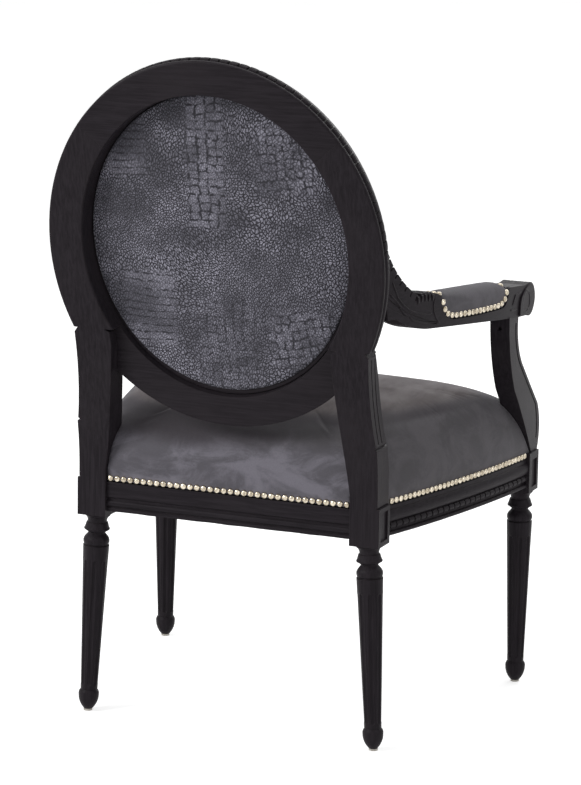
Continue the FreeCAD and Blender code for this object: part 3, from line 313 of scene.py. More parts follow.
def scaled_velvet(name):
    """Velvet embossed with reptile scales: square plates in the middle, bands and pebbles around, with
    painted shade in the creases and painted shadow by the opening's left edge.
    """
    g = Graph(name)
    u, _, up = g.split(g.coords)
    v = g.less(up, (OVAL_Z + OPENING_LIFT) * MM)
    plane = g.node("CombineXYZ", {0: u, 1: v}).outputs[0]

    def bent(source, scale, amount):
        """The source's points, pushed about by a slow noise."""
        wobble = g.node("TexNoise", {"Vector": plane, "Scale": scale, "Detail": 1.0})
        shift = g.calc("SUBTRACT", wobble.outputs["Color"], (0.5, 0.5, 0.5), "VectorMath")
        return g.calc("ADD", source, g.times(shift, amount), "VectorMath")

    near = bent(bent(plane, 11.0, 0.016), 150.0, 0.0045)
    plates = cells(g, g.scaled((64, 80, 1), near), 0.3)
    wave = g.calc("ABSOLUTE", g.calc("SINE", g.mul(g.split(near)[1], 86 * pi)))
    bands = (g.mul(wave, 0.36), g.noise(plane, 60.0, 1.0, 0.5))
    grid = cells(g, g.scaled((78, 70, 1), near, (0, 0, 0.14)), 0.3)
    flow = bent(bent(plane, 5.0, 0.1), 90.0, 0.006)
    pebbles, shade = cells(g, g.scaled((262, 196, 1), flow, (0, 0, 0.6)), 0.95)
    dash = g.fit(g.noise(plane, 95.0, 2.0, 0.6), 0.4, 0.58, 0.15, 1.0)
    speck = g.fit(g.noise(plane, 420.0, 2.0, 0.6), 0.34, 0.6, 0.25, 1.0)
    depth = g.mul(g.less(1.0, g.fit(pebbles, 0.02, 0.3, 1.0, 0.0)), speck)
    fine = g.mul(g.sum(0.38, g.mul(depth, 0.62)), 0.86)
    for places, soft, net, weight in ((FAINT, 0.03, plates, 0.55), (GRIDS, 0.022, grid, 0.8),
                                      (BANDS, 0.014, bands, 0.92), (PLATES, 0.01, plates, 0.95)):
        crease = g.mul(dash, g.fit(net[0], 0.03, 0.19, 1.0, 0.0))
        share = g.mul(fields(g, u, v, places, soft), weight)
        depth = g.blend(share, depth, g.mul(g.less(1.0, crease), fine))
        shade = g.blend(share, shade, net[1])
    fibre, brushed = pile(g)
    light = g.weigh(brushed, 0.4, g.noise(plane, 13.0, 3.0, 0.55), 0.6)
    # Spots take light off; those by the left edge of the opening are painted shadow of its reveal.
    for spot_u, spot_v, size, weight in SPOTS:
        spot = g.mul(ramp_mask(g, u, spot_u, 0.0, size * 1.6), ramp_mask(g, v, spot_v, 0.0, size))
        light = g.less(light, g.mul(spot, weight))
    light = g.sum(light, g.mul(g.less(shade, 0.5), 0.09))
    top = g.mix(g.fit(light, 0.32, 0.66), (0.1, 0.097, 0.12), (0.37, 0.36, 0.432))
    # Painted shade: the creases of the embossing darkened to near black.
    colour = g.mix(g.fit(depth, 0.0, 0.95), (0.013, 0.012, 0.017), top)
    colour = g.times(colour, g.fit(fibre, 0.3, 0.7, 0.72, 1.26))
    normal = g.bump(g.sum(depth, g.mul(fibre, 0.25)), 0.75, 0.0012)
    rough = g.fit(light, 0.3, 0.7, 0.6, 0.78)
    return g.set(base=colour, rough=rough, normal=normal, specular=0.25,
                 sheen=0.22, sheen_rough=0.45, sheen_tint=(0.78, 0.79, 0.88, 1))


def brass(name):
    """Pale antiqued brass of the nail heads."""
    g = Graph(name)
    spot = g.noise(g.coords, 160.0, 4.0, 0.6)
    fine = g.noise(g.coords, 1400.0, 2.0, 0.5)
    colour = g.mix(g.fit(spot, 0.35, 0.68), (0.34, 0.29, 0.215), (0.74, 0.67, 0.545))
    rough = g.fit(spot, 0.3, 0.7, 0.1, 0.2)
    return g.set(base=colour, metal=1.0, rough=rough, normal=g.bump(fine, 0.1, 0.0002))


def woven(name, dark, light, count, stripe=None):
    """Plain weave of flat yarns, count to the metre, with an optional stripe along the straps."""
    g = Graph(name)
    waves = [g.mul(axis, count * 2 * pi) for axis in g.split(g.coords)[:2]]
    over = g.mul(*[g.calc("ABSOLUTE", g.calc("SINE", wave)) for wave in waves])
    slub = g.noise(g.scaled((90, 900, 900)), 2.0, 3.0, 0.6)
    colour = g.mix(g.fit(g.weigh(over, 0.6, slub, 0.4), 0.2, 0.8), dark, light)
    if stripe:
        band = g.fit(g.noise(g.scaled((0.5, 60, 0.5)), 3.0, 0.0), 0.6, 0.64)
        colour = g.mix(g.mul(band, 0.7), colour, stripe)
    return g.set(base=colour, rough=g.fit(slub, 0.2, 0.8, 0.82, 0.95), normal=g.bump(over, 0.6, 0.0006))


def moulded(name):
    """Pale moulded nylon of the floor glides, scuffed."""
    g = Graph(name)
    scuff = g.noise(g.coords, 240.0, 5.0, 0.65)
    colour = g.mix(g.fit(scuff, 0.4, 0.75), (0.56, 0.53, 0.48), (0.36, 0.33, 0.29))
    rough = g.fit(scuff, 0.3, 0.7, 0.38, 0.6)
    return g.set(base=colour, rough=rough, normal=g.bump(scuff, 0.2, 0.0003))


WOOD = {axis: painted_wood("painted_wood_" + axis, axis) for axis in "xyz"}
SEAT_VELVET = turned_velvet("seat_velvet_painted_shade")
VELVET = plain_velvet("pad_velvet_nap", (0.051, 0.048, 0.054), (0.096, 0.09, 0.101))
SCALES = scaled_velvet("back_velvet_scales")
BRASS = brass("nail_brass")
JUTE = woven("jute_webbing", (0.2, 0.14, 0.08), (0.42, 0.32, 0.2), 420, (0.04, 0.05, 0.05))
CLOTH = woven("black_bottoming_cloth", (0.008, 0.008, 0.009), (0.03, 0.03, 0.033), 700)
BARE = bare_wood("bare_beech")
NYLON = moulded("glide_nylon")

for name, node in NODES.items():
    if "corner_block" in name:
        finish = BARE
    elif "glide" in name:
        finish = NYLON
    elif name.startswith(("side_rail", "arm_left", "arm_right")):
        finish = WOOD["y"]
    else:
        finish = WOOD["x" if name.endswith(("rail", "board")) else "z"]
    node.data.materials.clear()
    node.data.materials.append(finish)

# Mesh helpers


def new_object(name, data):
    made = bpy.data.objects.new(name, data)
    bpy.context.scene.collection.objects.link(made)
    return made


def new_mesh(name, verts, faces):
    mesh = bpy.data.meshes.new(name)
    mesh.from_pydata([tuple(v) for v in verts], [], faces)
    return mesh


def new_piece(name, verts, faces, material, smooth=True):
    mesh = new_mesh(name, verts, faces)
    mesh.materials.append(material)
    mesh.update()
    if smooth:
        mesh.shade_smooth()
    piece = new_object(name, mesh)
    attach(piece, "root")
    return piece


def face_outward(mesh):
    bm = bmesh.new()
    bm.from_mesh(mesh)
    bmesh.ops.recalc_face_normals(bm, faces=bm.faces)
    bm.to_mesh(mesh)
    bm.free()


def ring_faces(base, rings, sides):
    """Faces between stacked rings of points, the first of which starts at the index base."""
    faces = []
    for low in range(base, base + (rings - 1) * sides, sides):
        for k in range(sides):
            n = (k + 1) % sides
            faces.append((low + k, low + n, low + sides + n, low + sides + k))
    return faces


def merged(pieces):
    """Vertices and faces of several pieces, as one list each."""
    verts, faces = [], []
    for mesh in [piece.data for piece in pieces]:
        base = len(verts)
        verts += [tuple(v.co) for v in mesh.vertices]
        faces += [[i + base for i in p.vertices] for p in mesh.polygons]
    return verts, faces


def tree_of(*pieces):
    return BVHTree.FromPolygons(*merged(pieces))


def coords(mesh, what="co"):
    flat = np.zeros(len(mesh.vertices) * 3)
    mesh.vertices.foreach_get(what, flat)
    return flat.reshape(-1, 3)


def shells(bm):
    """The mesh's connected shells, each a list of its vertices."""
    left = set(bm.verts)
    found = []
    while left:
        shell = [left.pop()]
        for v in shell:
            for e in v.link_edges:
                w = e.other_vert(v)
                if w in left:
                    left.discard(w)
                    shell.append(w)
        found.append(shell)
    return found


def corners(shell):
    """Lowest and highest corner of the box round some vertices."""
    axes = list(zip(*[v.co for v in shell]))
    return Vector([min(axis) for axis in axes]), Vector([max(axis) for axis in axes])


def apply_modifier(piece, modifier):
    bpy.context.view_layer.objects.active = piece
    for other in bpy.context.selected_objects:
        other.select_set(False)
    piece.select_set(True)
    bpy.ops.object.modifier_apply(modifier=modifier.name)


def modify(piece, kind, **settings):
    """Adds a modifier with these settings and applies it."""
    made = piece.modifiers.new(kind.lower(), kind)
    for key, value in settings.items():
        setattr(made, key, value)
    apply_modifier(piece, made)


def circle(sides):
    """Cosine and sine of even turns round a circle."""
    turns = [2 * pi * k / sides for k in range(sides)]
    return [(cos(t), sin(t)) for t in turns]


def spread(first, last, count):
    """Evenly spread numbers, the first and the last among them."""
    return [first + (last - first) * k / (count - 1) for k in range(count)]


def arc(a, b, c, count):
    """Points from a, up to but not c, along the arc through b."""
    (ax, ay), (bx, by), (cx, cy) = a, b, c
    d = 2 * (ax * (by - cy) + bx * (cy - ay) + cx * (ay - by))
    if abs(d) < 1e-6:
        return [(ax + (cx - ax) * k / count, ay + (cy - ay) * k / count) for k in range(count)]
    aa, bb, cc = ax * ax + ay * ay, bx * bx + by * by, cx * cx + cy * cy
    ox = (aa * (by - cy) + bb * (cy - ay) + cc * (ay - by)) / d
    oy = (aa * (cx - bx) + bb * (ax - cx) + cc * (bx - ax)) / d
    radius = math.hypot(ax - ox, ay - oy)
    start = math.atan2(ay - oy, ax - ox)
    turn = (math.atan2(cy - oy, cx - ox) - start) % (2 * pi)
    mid = (math.atan2(by - oy, bx - ox) - start) % (2 * pi)
    if mid > turn:
        turn -= 2 * pi
    angles = [start + turn * k / count for k in range(count)]
    return [(ox + radius * cos(t), oy + radius * sin(t)) for t in angles]


def along(points, pitch):
    """Points set at an even pitch along a run of straight steps."""
    lengths = [math.dist(a, b) for a, b in zip(points, points[1:])]
    total = sum(lengths)
    count = round(total / pitch)
    out = []
    for k in range(count + 1):
        left = total * k / count
        i = 0
        while i < len(lengths) - 1 and left > lengths[i]:
            left -= lengths[i]
            i += 1
        share = min(1.0, left / lengths[i])
        out.append(tuple(p + (q - p) * share for p, q in zip(points[i], points[i + 1])))
    return out


def closed_rings(name, rings, first, last):
    """Closed skin over rings of points, with a middle point beyond the first and the last ring."""
    sides = len(rings[0])
    verts, faces = [first], []
    for ring in rings:
        verts += ring
    verts.append(last)
    top = 1 + (len(rings) - 1) * sides
    for k in range(sides):
        n = (k + 1) % sides
        faces.append((0, 1 + n, 1 + k))
        for low in range(1, top, sides):
            faces.append((low + k, low + n, low + sides + n, low + sides + k))
        faces.append((top + k, top + n, len(verts) - 1))
    mesh = new_mesh(name, verts, faces)
    face_outward(mesh)
    return new_object(name, mesh)


# Upholstery

FRAME_WORDS = ("rear", "front", "side", "arm", "crest", "lower", "back")
NOT_FRAME = ("pad", "webbing", "glide", "corner")
FRAME_TREE = tree_of(*[node for name, node in NODES.items() if name.startswith(FRAME_WORDS)
                       and not any(word in name for word in NOT_FRAME)])
# Distance from the wood, in metres, up to which a cover is held, and from which it is free.
HELD, FREE = 0.006, 0.03
CLOTH_FRAMES = 20
CLOTH_SETTINGS = {"quality": 4, "mass": 0.3, "tension_stiffness": 40, "compression_stiffness": 40,
                  "bending_stiffness": 2, "use_pressure": True, "vertex_group_mass": "held"}


def freedom(co):
    """0 where the cover meets the wood, rising to 1 well away from it."""
    distance = FRAME_TREE.find_nearest(Vector(co), FREE)[3]
    return 1.0 if distance is None else min(1.0, max(0.0, (distance - HELD) / (FREE - HELD)))


def inflated(piece, cap, pressure, material, nodes, levels=0):
    """Lets cloth pressure fill the piece out, by cap metres at most, then finishes it."""
    start = coords(piece.data)
    free = np.array([freedom(co) for co in start])
    group = piece.vertex_groups.new(name="held")
    for i, share in enumerate(free):
        group.add([i], 1.0 - share, "REPLACE")
    cloth = piece.modifiers.new("cloth", "CLOTH")
    for key, value in {**CLOTH_SETTINGS, "uniform_pressure_force": pressure}.items():
        setattr(cloth.settings, key, value)
    cloth.settings.effector_weights.gravity = 0
    cloth.collision_settings.use_collision = False
    cloth.point_cache.frame_start = 1
    cloth.point_cache.frame_end = CLOTH_FRAMES
    for step in range(1, CLOTH_FRAMES + 1):
        bpy.context.scene.frame_set(step)
    apply_modifier(piece, cloth)
    bpy.context.scene.frame_set(1)
    move = (coords(piece.data) - start) * free[:, None]
    length = np.linalg.norm(move, axis=1)
    limit = np.minimum(1.0, cap / np.maximum(length, 1e-9))
    piece.data.vertices.foreach_set("co", (start + move * limit[:, None]).ravel())
    piece.vertex_groups.clear()
    if levels:
        modify(piece, "SUBSURF", levels=levels, render_levels=levels)
    piece.data.materials.clear()
    piece.data.materials.append(material)
    piece.data.shade_smooth()
    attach(piece, "root")
    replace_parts(piece, *nodes)
    return piece


# The seat: heights of its foot, its rim and its crown, and of the hidden underside.
SEAT_FOOT, SEAT_RIM, SEAT_CROWN, SEAT_BASE = 380.5, 378.0, 517.5, 394.6
# Its plan: where it ends, how its half width grows from the rear to the front, and how it bows.
SEAT_REAR, SEAT_FRONT, SEAT_MIDDLE = 241.0, -238.5, -0.5
RAIL_REAR, RAIL_LENGTH, RAIL_BOW = 200.0, 401.0, 10.0
REAR_HALF, HALF_GROWTH = 245.5, 85.2
NOSE_HALF, NOSE_BOW = 293.2, 16.0
SKIRT_INSET, COVER_INSET = 3.7, 0.2
# How square its section is from front to rear, and across.
SEAT_FULLNESS, SEAT_SHOULDER = 2.6, 6.4
# Notches in it, this much clear of the wood: round the stiles, as height and inner edge, and round the
# arm posts, as height, inner edge and rear edge.
NOTCH_CLEAR = 1.0
STILE_NOTCH = ((300, 204), (400, 204), (433, 201), (470, 196.5), (520, 189), (600, 181))
POST_NOTCH = ((300, 293.2, -201), (387, 293.2, -201), (387.3, 302.2, -214), (430, 302.2, -186),
              (451, 302.2, -170), (480, 302.2, -146), (505, 302.2, -125), (560, 302.2, -100))


def seat_plan(scale, inset, wide=None):
    """Loop of plan points of the seat: bowed sides, corners that grow rounder as it closes in."""
    wide = scale if wide is None else wide
    corner = 12 + 158 * (1 - scale) ** 0.7
    k = corner * 0.3
    back = SEAT_REAR - inset

    def side(y):
        share = (RAIL_REAR - y) / RAIL_LENGTH
        return (REAR_HALF - inset + HALF_GROWTH * share + RAIL_BOW * (1 - (2 * share - 1) ** 2), y)

    def nose(x):
        return (x, SEAT_FRONT + inset - NOSE_BOW * (1 - (x / NOSE_HALF) ** 2))

    front = nose(NOSE_HALF)[1]
    rear_x, front_x = side(back)[0], side(front)[0]
    middle = (back + front) / 2
    half = arc((0, back), ((rear_x - corner) / 2, back), (rear_x - corner, back), 44)
    half += arc((rear_x - corner, back), (rear_x - k, back - k), side(back - corner), 8)
    half += arc(side(back - corner), side(middle), side(front + corner), 90)
    half += arc(side(front + corner), (front_x - k, front + k - 1), nose(front_x - corner), 8)
    half += arc(nose(front_x - corner), nose((front_x - corner) / 2), nose(0), 58)
    half.append(nose(0))
    loop = half + [(-x, y) for x, y in reversed(half[1:-1])]
    return [(x * wide, middle + (y - middle) * scale) for x, y in loop]


def cut_away(piece, sections):
    """Cuts the space beyond stacked sections, each a height, two edges and a way in y, from both sides."""
    far = 600
    for sign in (1, -1):
        verts = []
        for z, x, y, way in sections:
            plan = ((x, y), (far, y), (far, way * far), (x, way * far))
            verts += [at(sign * px, py, z) for px, py in plan]
        last = 4 * (len(sections) - 1)
        faces = ring_faces(0, len(sections), 4) + [(3, 2, 1, 0), (last, last + 1, last + 2, last + 3)]
        mesh = new_mesh("notch", verts, faces)
        face_outward(mesh)
        cutter = new_object("notch", mesh)
        modify(piece, "BOOLEAN", operation="DIFFERENCE", solver="EXACT", object=cutter)
        bpy.data.objects.remove(cutter)


def stile_front(z):
    """Working y of the stile's front face."""
    raked = OVAL_Y + (z - OVAL_Z) * math.tan(RAKE) - FRAME_DEPTH / cos(RAKE)
    return max(RAIL_REAR, raked)


def seat_piece():
    """The seat as one closed cushion with its nailed skirt, notched round the wood."""

    def ring(plan, z):
        return [at(x, y, z) for x, y in plan]

    def drawn_in(outer, share, z):
        plan = [(p.x / MM * share, (p.y - Y_SHIFT) / MM) for p in outer]
        return ring([(x, SEAT_MIDDLE + (y - SEAT_MIDDLE) * share) for x, y in plan], z)

    foot = seat_plan(1.0, SKIRT_INSET)
    rings = [drawn_in(ring(foot, SEAT_BASE), share, SEAT_BASE) for share in (0.34, 0.67, 0.9, 1.0)]
    rings.append(ring(foot, SEAT_FOOT))
    angles = [math.asin((0.587 * k / 28) ** (SEAT_FULLNESS / 2)) for k in range(28)]
    angles += [radians(30 + 57 * k / 32) for k in range(33)]
    for t in angles:
        scale, wide = cos(t) ** (2 / SEAT_FULLNESS), cos(t) ** (2 / SEAT_SHOULDER)
        height = SEAT_RIM + (SEAT_CROWN - SEAT_RIM) * sin(t) ** (2 / SEAT_FULLNESS)
        rings.append(ring(seat_plan(scale, COVER_INSET, wide), max(SEAT_FOOT, height)))
    rings += [drawn_in(rings[-1], share, SEAT_CROWN) for share in (0.66, 0.33)]
    first, last = at(0, SEAT_MIDDLE, SEAT_BASE), at(0, SEAT_MIDDLE, SEAT_CROWN)
    piece = closed_rings("seat_upholstery", rings, first, last)
    cut_away(piece, [(z, x - NOTCH_CLEAR, stile_front(z) - NOTCH_CLEAR, 1) for z, x in STILE_NOTCH])
    cut_away(piece, [(z, x - NOTCH_CLEAR, y + NOTCH_CLEAR, -1) for z, x, y in POST_NOTCH])
    return inflated(piece, 0.0045, 4.0, SEAT_VELVET, ["seat_cover", "seat_foam"])


seat = seat_piece()

# The pad of the inside back: how far it covers the oval beyond the opening, and how deep it is.
PAD_REACH, PAD_DEPTH = 16.0, 44.0


def inside_back_piece():
    """Crowned pad over the front of the oval, rounded at its nailed edge."""
    a = INNER_A + PAD_REACH
    stretch = (INNER_B + PAD_REACH) / a
    foot, top = FRAME_DEPTH + 1.9, FRAME_DEPTH + PAD_DEPTH
    side, shoulder = FRAME_DEPTH + PAD_DEPTH * 0.26, FRAME_DEPTH + PAD_DEPTH * 0.48
    profile = [(a * k / 5, foot) for k in range(1, 5)]
    profile += [(a - 7, foot), (a - 3, FRAME_DEPTH + 0.3), (a - 1.2, FRAME_DEPTH + 0.3)]
    profile += arc((a, FRAME_DEPTH + 0.9), (a + 0.5, side), (a - 9, shoulder), 10)
    profile += arc((a - 9, shoulder), (a * 0.56, top - (top - shoulder) * 0.26), (0, top), 42)
    rings = [[in_opening(r * c, r * stretch * s, depth) for c, s in circle(220)] for r, depth in profile]
    piece = closed_rings("inside_back_upholstery", rings, in_opening(0, 0, foot), in_opening(0, 0, top))
    return inflated(piece, 0.004, 4.0, VELVET, ["inside_back_cover", "inside_back_foam"])


inside_back = inside_back_piece()


def arm_pad(side_name):
    """Pad of one arm: an even mesh over its solid, filled out."""
    node = "arm_pad_" + side_name
    piece = new_object("arm_pad_upholstery_" + side_name, new_mesh(node, *merged([NODES[node]])))
    modify(piece, "REMESH", mode="VOXEL", voxel_size=0.003)
    modify(piece, "SMOOTH", factor=0.5, iterations=3)
    return inflated(piece, 0.003, 3.0, VELVET, [node], 1)


pads = {}
for side_name, _ in SIDES:
    pads[side_name] = arm_pad(side_name)


def outside_back():
    """Crowned panel of embossed velvet on the rear board, tucked in at its edge."""
    rings, sides = 60, 180
    a, b, up = INNER_A - 6.0, INNER_B - 8.0, 3.5
    base, crown = 28.6, 10.0
    turns = [2 * pi * k / sides for k in range(sides)]

    def ring(share, rises):
        return [in_opening(a * share * cos(t), up + b * share * sin(t), base - rise)
                for t, rise in zip(turns, rises)]

    verts = [in_opening(0, up, base - crown)]
    for r in range(1, rings + 1):
        share = r / rings
        rise, sag = crown * (1 - share ** 3.2), 0.5 * share * (1 - share)
        verts += ring(share, [rise + sag * sin(3 * t + 1.0) for t in turns])
    for share, tuck in ((1.0, 0.6), (0.996, 1.2)):
        verts += ring(share, [-tuck] * sides)
    faces = [(0, 1 + (k + 1) % sides, 1 + k) for k in range(sides)] + ring_faces(1, rings + 2, sides)
    piece = new_piece("outside_back_upholstery", verts, faces, SCALES)
    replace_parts(piece, "outside_back_cover")
    return piece


back_panel = outside_back()

# Nail rows. Radii and lifts are in metres.

NAIL_RADIUS, PAD_NAIL_RADIUS = 0.0051, 0.0049
NAIL_LIFT = 0.0002
NAIL_DOME = 0.72
SEAT_NAIL_HEIGHT = 384
PAD_NAIL_PITCH, BACK_NAIL_PITCH = 12.4, 11.3
# A nail's skirt, as share of its radius and metres, and its cap, as shares of its radius and its dome.
NAIL_SKIRT = ((1.0, -0.0012), (1.0, 0.0002))
NAIL_CAP = ((0.9, 0.42), (0.66, 0.7), (0.34, 0.88))
# The edge of each arm pad in the side view, from its rear top round to its front top.
PAD_EDGE = [(130, 697), (127.5, 688), (124, 677), (117, 667.5), (106, 662.5), (94, 660.5), (69, 659),
            (20, 656), (-30, 653.5), (-56, 653.5), (-68, 657), (-77, 664), (-81.5, 673), (-81, 682)]
PAD_ENDS = (128, -78)


def nails(name, spots, radius):
    """Domed nail heads at (point, outward normal) pairs."""
    verts, faces = [], []
    sides = 14
    dome = radius * NAIL_DOME
    rings = list(NAIL_SKIRT) + [(share, rise * dome) for share, rise in NAIL_CAP]
    for point, out in spots:
        side = out.orthogonal().normalized()
        up = out.cross(side)
        base = len(verts)
        for share, lift in rings:
            verts += [point + (side * c + up * s) * radius * share + out * lift for c, s in circle(sides)]
        faces += ring_faces(base, len(rings), sides)
        top = len(verts)
        verts.append(point + out * dome * 0.95)
        faces += [(top - sides + k, top - sides + (k + 1) % sides, top) for k in range(sides)]
    return new_piece(name, verts, faces, BRASS)


def pucker(piece, points, depth, width):
    """Draws the cover in a little at each nail."""
    co = coords(piece.data)
    pull = np.zeros(len(co))
    for p in points:
        away = ((co - np.array(p)) ** 2).sum(1)
        pull = np.maximum(pull, np.exp(-away / (2 * width * width)))
    shown = co - coords(piece.data, "normal") * pull[:, None] * depth
    piece.data.vertices.foreach_set("co", shown.ravel())
    piece.data.update()


def nail_spots(tree, rays, level=False):
    """Places and directions of the nails that rays find; level ones point straight out."""
    spots = []
    for origin, way in rays:
        point, out = tree.ray_cast(origin, way, 0.5)[:2]
        if point is not None:
            out = Vector((out.x, out.y, 0)).normalized() if level else out
            spots.append((point + out * NAIL_LIFT, out))
    return spots


def seat_nails():
    """Nails round the foot of the seat, on the back, the sides and the front."""
    tree = tree_of(seat)
    z = SEAT_NAIL_HEIGHT
    rows = {"back": [(at(x, 330, z), Vector((0, -1, 0))) for x in spread(-197.75, 197.75, 36)]}
    for side_name, sign in SIDES:
        rows[side_name] = [(at(sign * 420, y, z), Vector((-sign, 0, 0))) for y in spread(188, -195, 36)]
    rows["front"] = [(at(x, -330, z), Vector((0, 1, 0))) for x in spread(-284, 284, 51)]
    for name, rays in rows.items():
        spots = nail_spots(tree, rays, True)
        nails("seat_nails_" + name, spots, NAIL_RADIUS)
        pucker(seat, [p + Vector((0, 0, 0.007)) for p, _ in spots], 0.0011, 0.004)


def pad_nails():
    """Nails along the edge of each arm pad, and over its two ends."""
    for side_name, pad in pads.items():
        tree = tree_of(pad)
        low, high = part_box("arm_pad_" + side_name)
        middle = (low.x + high.x) / 2
        rays = []
        for y, z in [at(0, *p).yz for p in along(PAD_EDGE, PAD_NAIL_PITCH)]:
            rays += [(Vector((middle + way * 0.12, y, z)), Vector((-way, 0, 0))) for way in (1, -1)]
        spots = nail_spots(tree, rays)
        for y in [at(0, end, 0).y for end in PAD_ENDS]:
            xs = [p.x for p, _ in spots if abs(p.y - y) < 0.012]
            steps = max(2, round((max(xs) - min(xs)) / 0.0096))
            tops = spread(min(xs), max(xs), steps + 1)[1:-1]
            spots += nail_spots(tree, [(Vector((x, y, 0.74)), Vector((0, 0, -1))) for x in tops])
        nails("arm_pad_nails_" + side_name, spots, PAD_NAIL_RADIUS)
        pucker(pad, [p for p, _ in spots], 0.0008, 0.004)


def back_nails():
    """Nails round the rim of the inside back."""
    a, b = INNER_A + PAD_REACH, INNER_B + PAD_REACH
    around = pi * (3 * (a + b) - math.sqrt((3 * a + b) * (a + 3 * b)))
    rim = [(a * c, b * s) for c, s in circle(2000)]
    rays = []
    for u, v in along(rim + rim[:1], around / round(around / BACK_NAIL_PITCH))[:-1]:
        origin, target = [in_opening(u * share, v * share, FRAME_DEPTH + 6) for share in (1.3, 0.9)]
        rays.append((origin, (target - origin).normalized()))
    nails("inside_back_nails", nail_spots(tree_of(inside_back), rays), NAIL_RADIUS)


seat_nails()
pad_nails()
back_nails()

# Carving

# The ribbon round the crest: its pitch, half a block's length, its lean, and where it meets the arm.
RIBBON_PITCH, RIBBON_HALF, RIBBON_LEAN, RIBBON_END = 15.5, 6.4, 0.1, 776.0
# Its section, as depth in front of the rear face and rise over the oval, its middle, and its sunk foot.
RIBBON_SECTION = ((10.2, -1.0), (10.6, 0.3), (12.4, 1.0), (16.5, 1.3), (20.4, 1.0), (22.6, 0.3),
                  (23.4, -1.6))
RIBBON_MIDDLE, RIBBON_SINK = 16.5, -1.6
# How a block drops towards its ends, along its half length.
RIBBON_ENDS = ((-1.0, 1.2), (-0.9, 0.3), (-0.4, 0.0), (0.4, 0.0), (0.9, 0.3), (1.0, 1.2))


def block_strip(name, blocks, material):
    """Raised blocks, each a list of cross rows of points, closed at both ends."""
    verts, faces = [], []
    for rows in blocks:
        base = len(verts)
        wide = len(rows[0])
        for row in rows:
            verts += row
        last = base + (len(rows) - 1) * wide
        faces += ring_faces(base, len(rows), wide)
        faces += [tuple(base + k for k in reversed(range(wide))), tuple(last + k for k in range(wide))]
    piece = new_piece(name, verts, faces, material, smooth=False)
    face_outward(piece.data)
    return piece


def ribbon_steps():
    """Middle angles of the ribbon's blocks, from the top of the oval down to the arm."""
    low = (RIBBON_END - OVAL_Z) / cos(RAKE)
    steps, walked, target = [], 0.0, RIBBON_PITCH
    here = (0.0, OUTER_B)
    for k in range(1, 3600):
        t = radians(90 - k * 0.05)
        there = (OUTER_A * cos(t), OUTER_B * sin(t))
        walked += math.dist(here, there)
        here = there
        if there[1] < low + RIBBON_PITCH / 2:
            break
        if walked >= target:
            steps.append(t)
            target += RIBBON_PITCH
    return steps


def ribbon_block(t, sign):
    """One raised, slightly slanted block between two cuts of the ribbon, at an angle of the oval."""
    u, v = OUTER_A * cos(t), OUTER_B * sin(t)
    normal = Vector((u / OUTER_A ** 2, v / OUTER_B ** 2)).normalized()
    tangent = Vector((-normal.y, normal.x))
    rows = []
    for share, drop in RIBBON_ENDS:
        row = []
        for depth, rise in RIBBON_SECTION:
            reach = share * RIBBON_HALF + (depth - RIBBON_MIDDLE) * RIBBON_LEAN
            lift = max(rise - drop, RIBBON_SINK) if rise > 0 else rise
            p = Vector((u, v)) + tangent * reach + normal * lift
            row.append(on_back(sign * p.x, p.y, depth))
        rows.append(row)
    return rows


for side_name, sign in SIDES:
    angles = ([pi / 2] if sign == 1 else []) + ribbon_steps()
    block_strip("crest_ribbon_" + side_name, [ribbon_block(t, sign) for t in angles], WOOD["x"])

# Carved lines on the outer face of each arm, in the side view: y and z.
ARM_LINES = (
    [(262, 716), (243, 700), (226, 682), (204, 668), (182, 662), (160, 658.5), (143, 656.5)],
    [(256, 733), (243, 708), (228, 694), (214, 685), (196, 678), (176, 674), (157, 673)],
    [(148.5, 696.6), (152, 690), (153, 683.9), (151.5, 674), (146, 664), (137, 654.5)],
    [(-94.5, 638.6), (-108, 637.8), (-121, 637)],
    [(-102.4, 645.6), (-108, 653), (-112.8, 659.8), (-126, 660.8), (-139, 661.2)],
)
LINE_RADIUS, LOOP_RADIUS, BEAD_STEP = 1.5, 1.4, 1.6
# The scroll's cheek: its rear edge, the arc of its front edge, its foot, and the loop carved on it.
SCROLL_REAR = [(-129, 625), (-129.5, 634), (-131, 646), (-136, 654), (-144, 660), (-154, 665),
               (-166, 668.5)]
SCROLL_CENTRE, SCROLL_RADIUS = (-175.0, 645.6), 24.6
SCROLL_FOOT, SCROLL_HEEL = (-150, 623), (-133, 624.3)
SCROLL_LOOP = [(-141.5, 633.7), (-142, 644.4), (-145, 652), (-150, 659), (-158, 661.6), (-167, 658.3),
               (-172, 650), (-173, 638.7), (-167.5, 630.5), (-156, 627), (-146, 628.5), (-141.5, 633.7)]
# Rise and inset of the cheek's rings over the arm's face.
CHEEK_RINGS = ((-1.4, 0.0), (0.5, 0.0), (1.0, 0.35), (1.3, 1.1))
LOOP_RISE = 1.3
# Leaf bands behind the pad: the rear one, their pitch, half length and lean, and half a section, as
# distance out from the arm's face, up from its top, and rise.
LEAVES, LEAF_REAR, LEAF_PITCH, LEAF_HALF, LEAF_LEAN = 5, 193, 9.2, 3.9, 2.4
LEAF_SECTION = ((-0.4, -13.5, 0.3), (0.1, -12, 0.8), (0.5, -8, 1.3), (0.4, -3, 1.3), (-2.2, -0.2, 1.3),
                (-8, 0.2, 1.2))


def on_face(tree, sign, y, z):
    """Point and outward direction of the arm's outer face, sought from the side."""
    return tree.ray_cast(at(sign * 420, y, z), Vector((-sign, 0, 0)), 0.5)[:2]


def bead(tree, sign, points, radius):
    """Half-round bead that follows a line on the face, as one closed tube of rows."""
    spots = []
    for y, z in along(points, BEAD_STEP):
        point, normal = on_face(tree, sign, y, z)
        if point is not None and abs(normal.x) > 0.6:
            spots.append((point, normal))
    rows = []
    last = len(spots) - 1
    for i, (point, normal) in enumerate(spots):
        ahead = spots[min(i + 1, last)][0] - spots[max(i - 1, 0)][0]
        across = normal.cross(ahead.normalized()).normalized()
        r = radius * MM * min(1.0, 0.35 + 0.3 * min(i, last - i))
        rows.append([point + across * r * 1.15 * c + normal * (r * 0.8 * s) for c, s in circle(8)])
    return rows


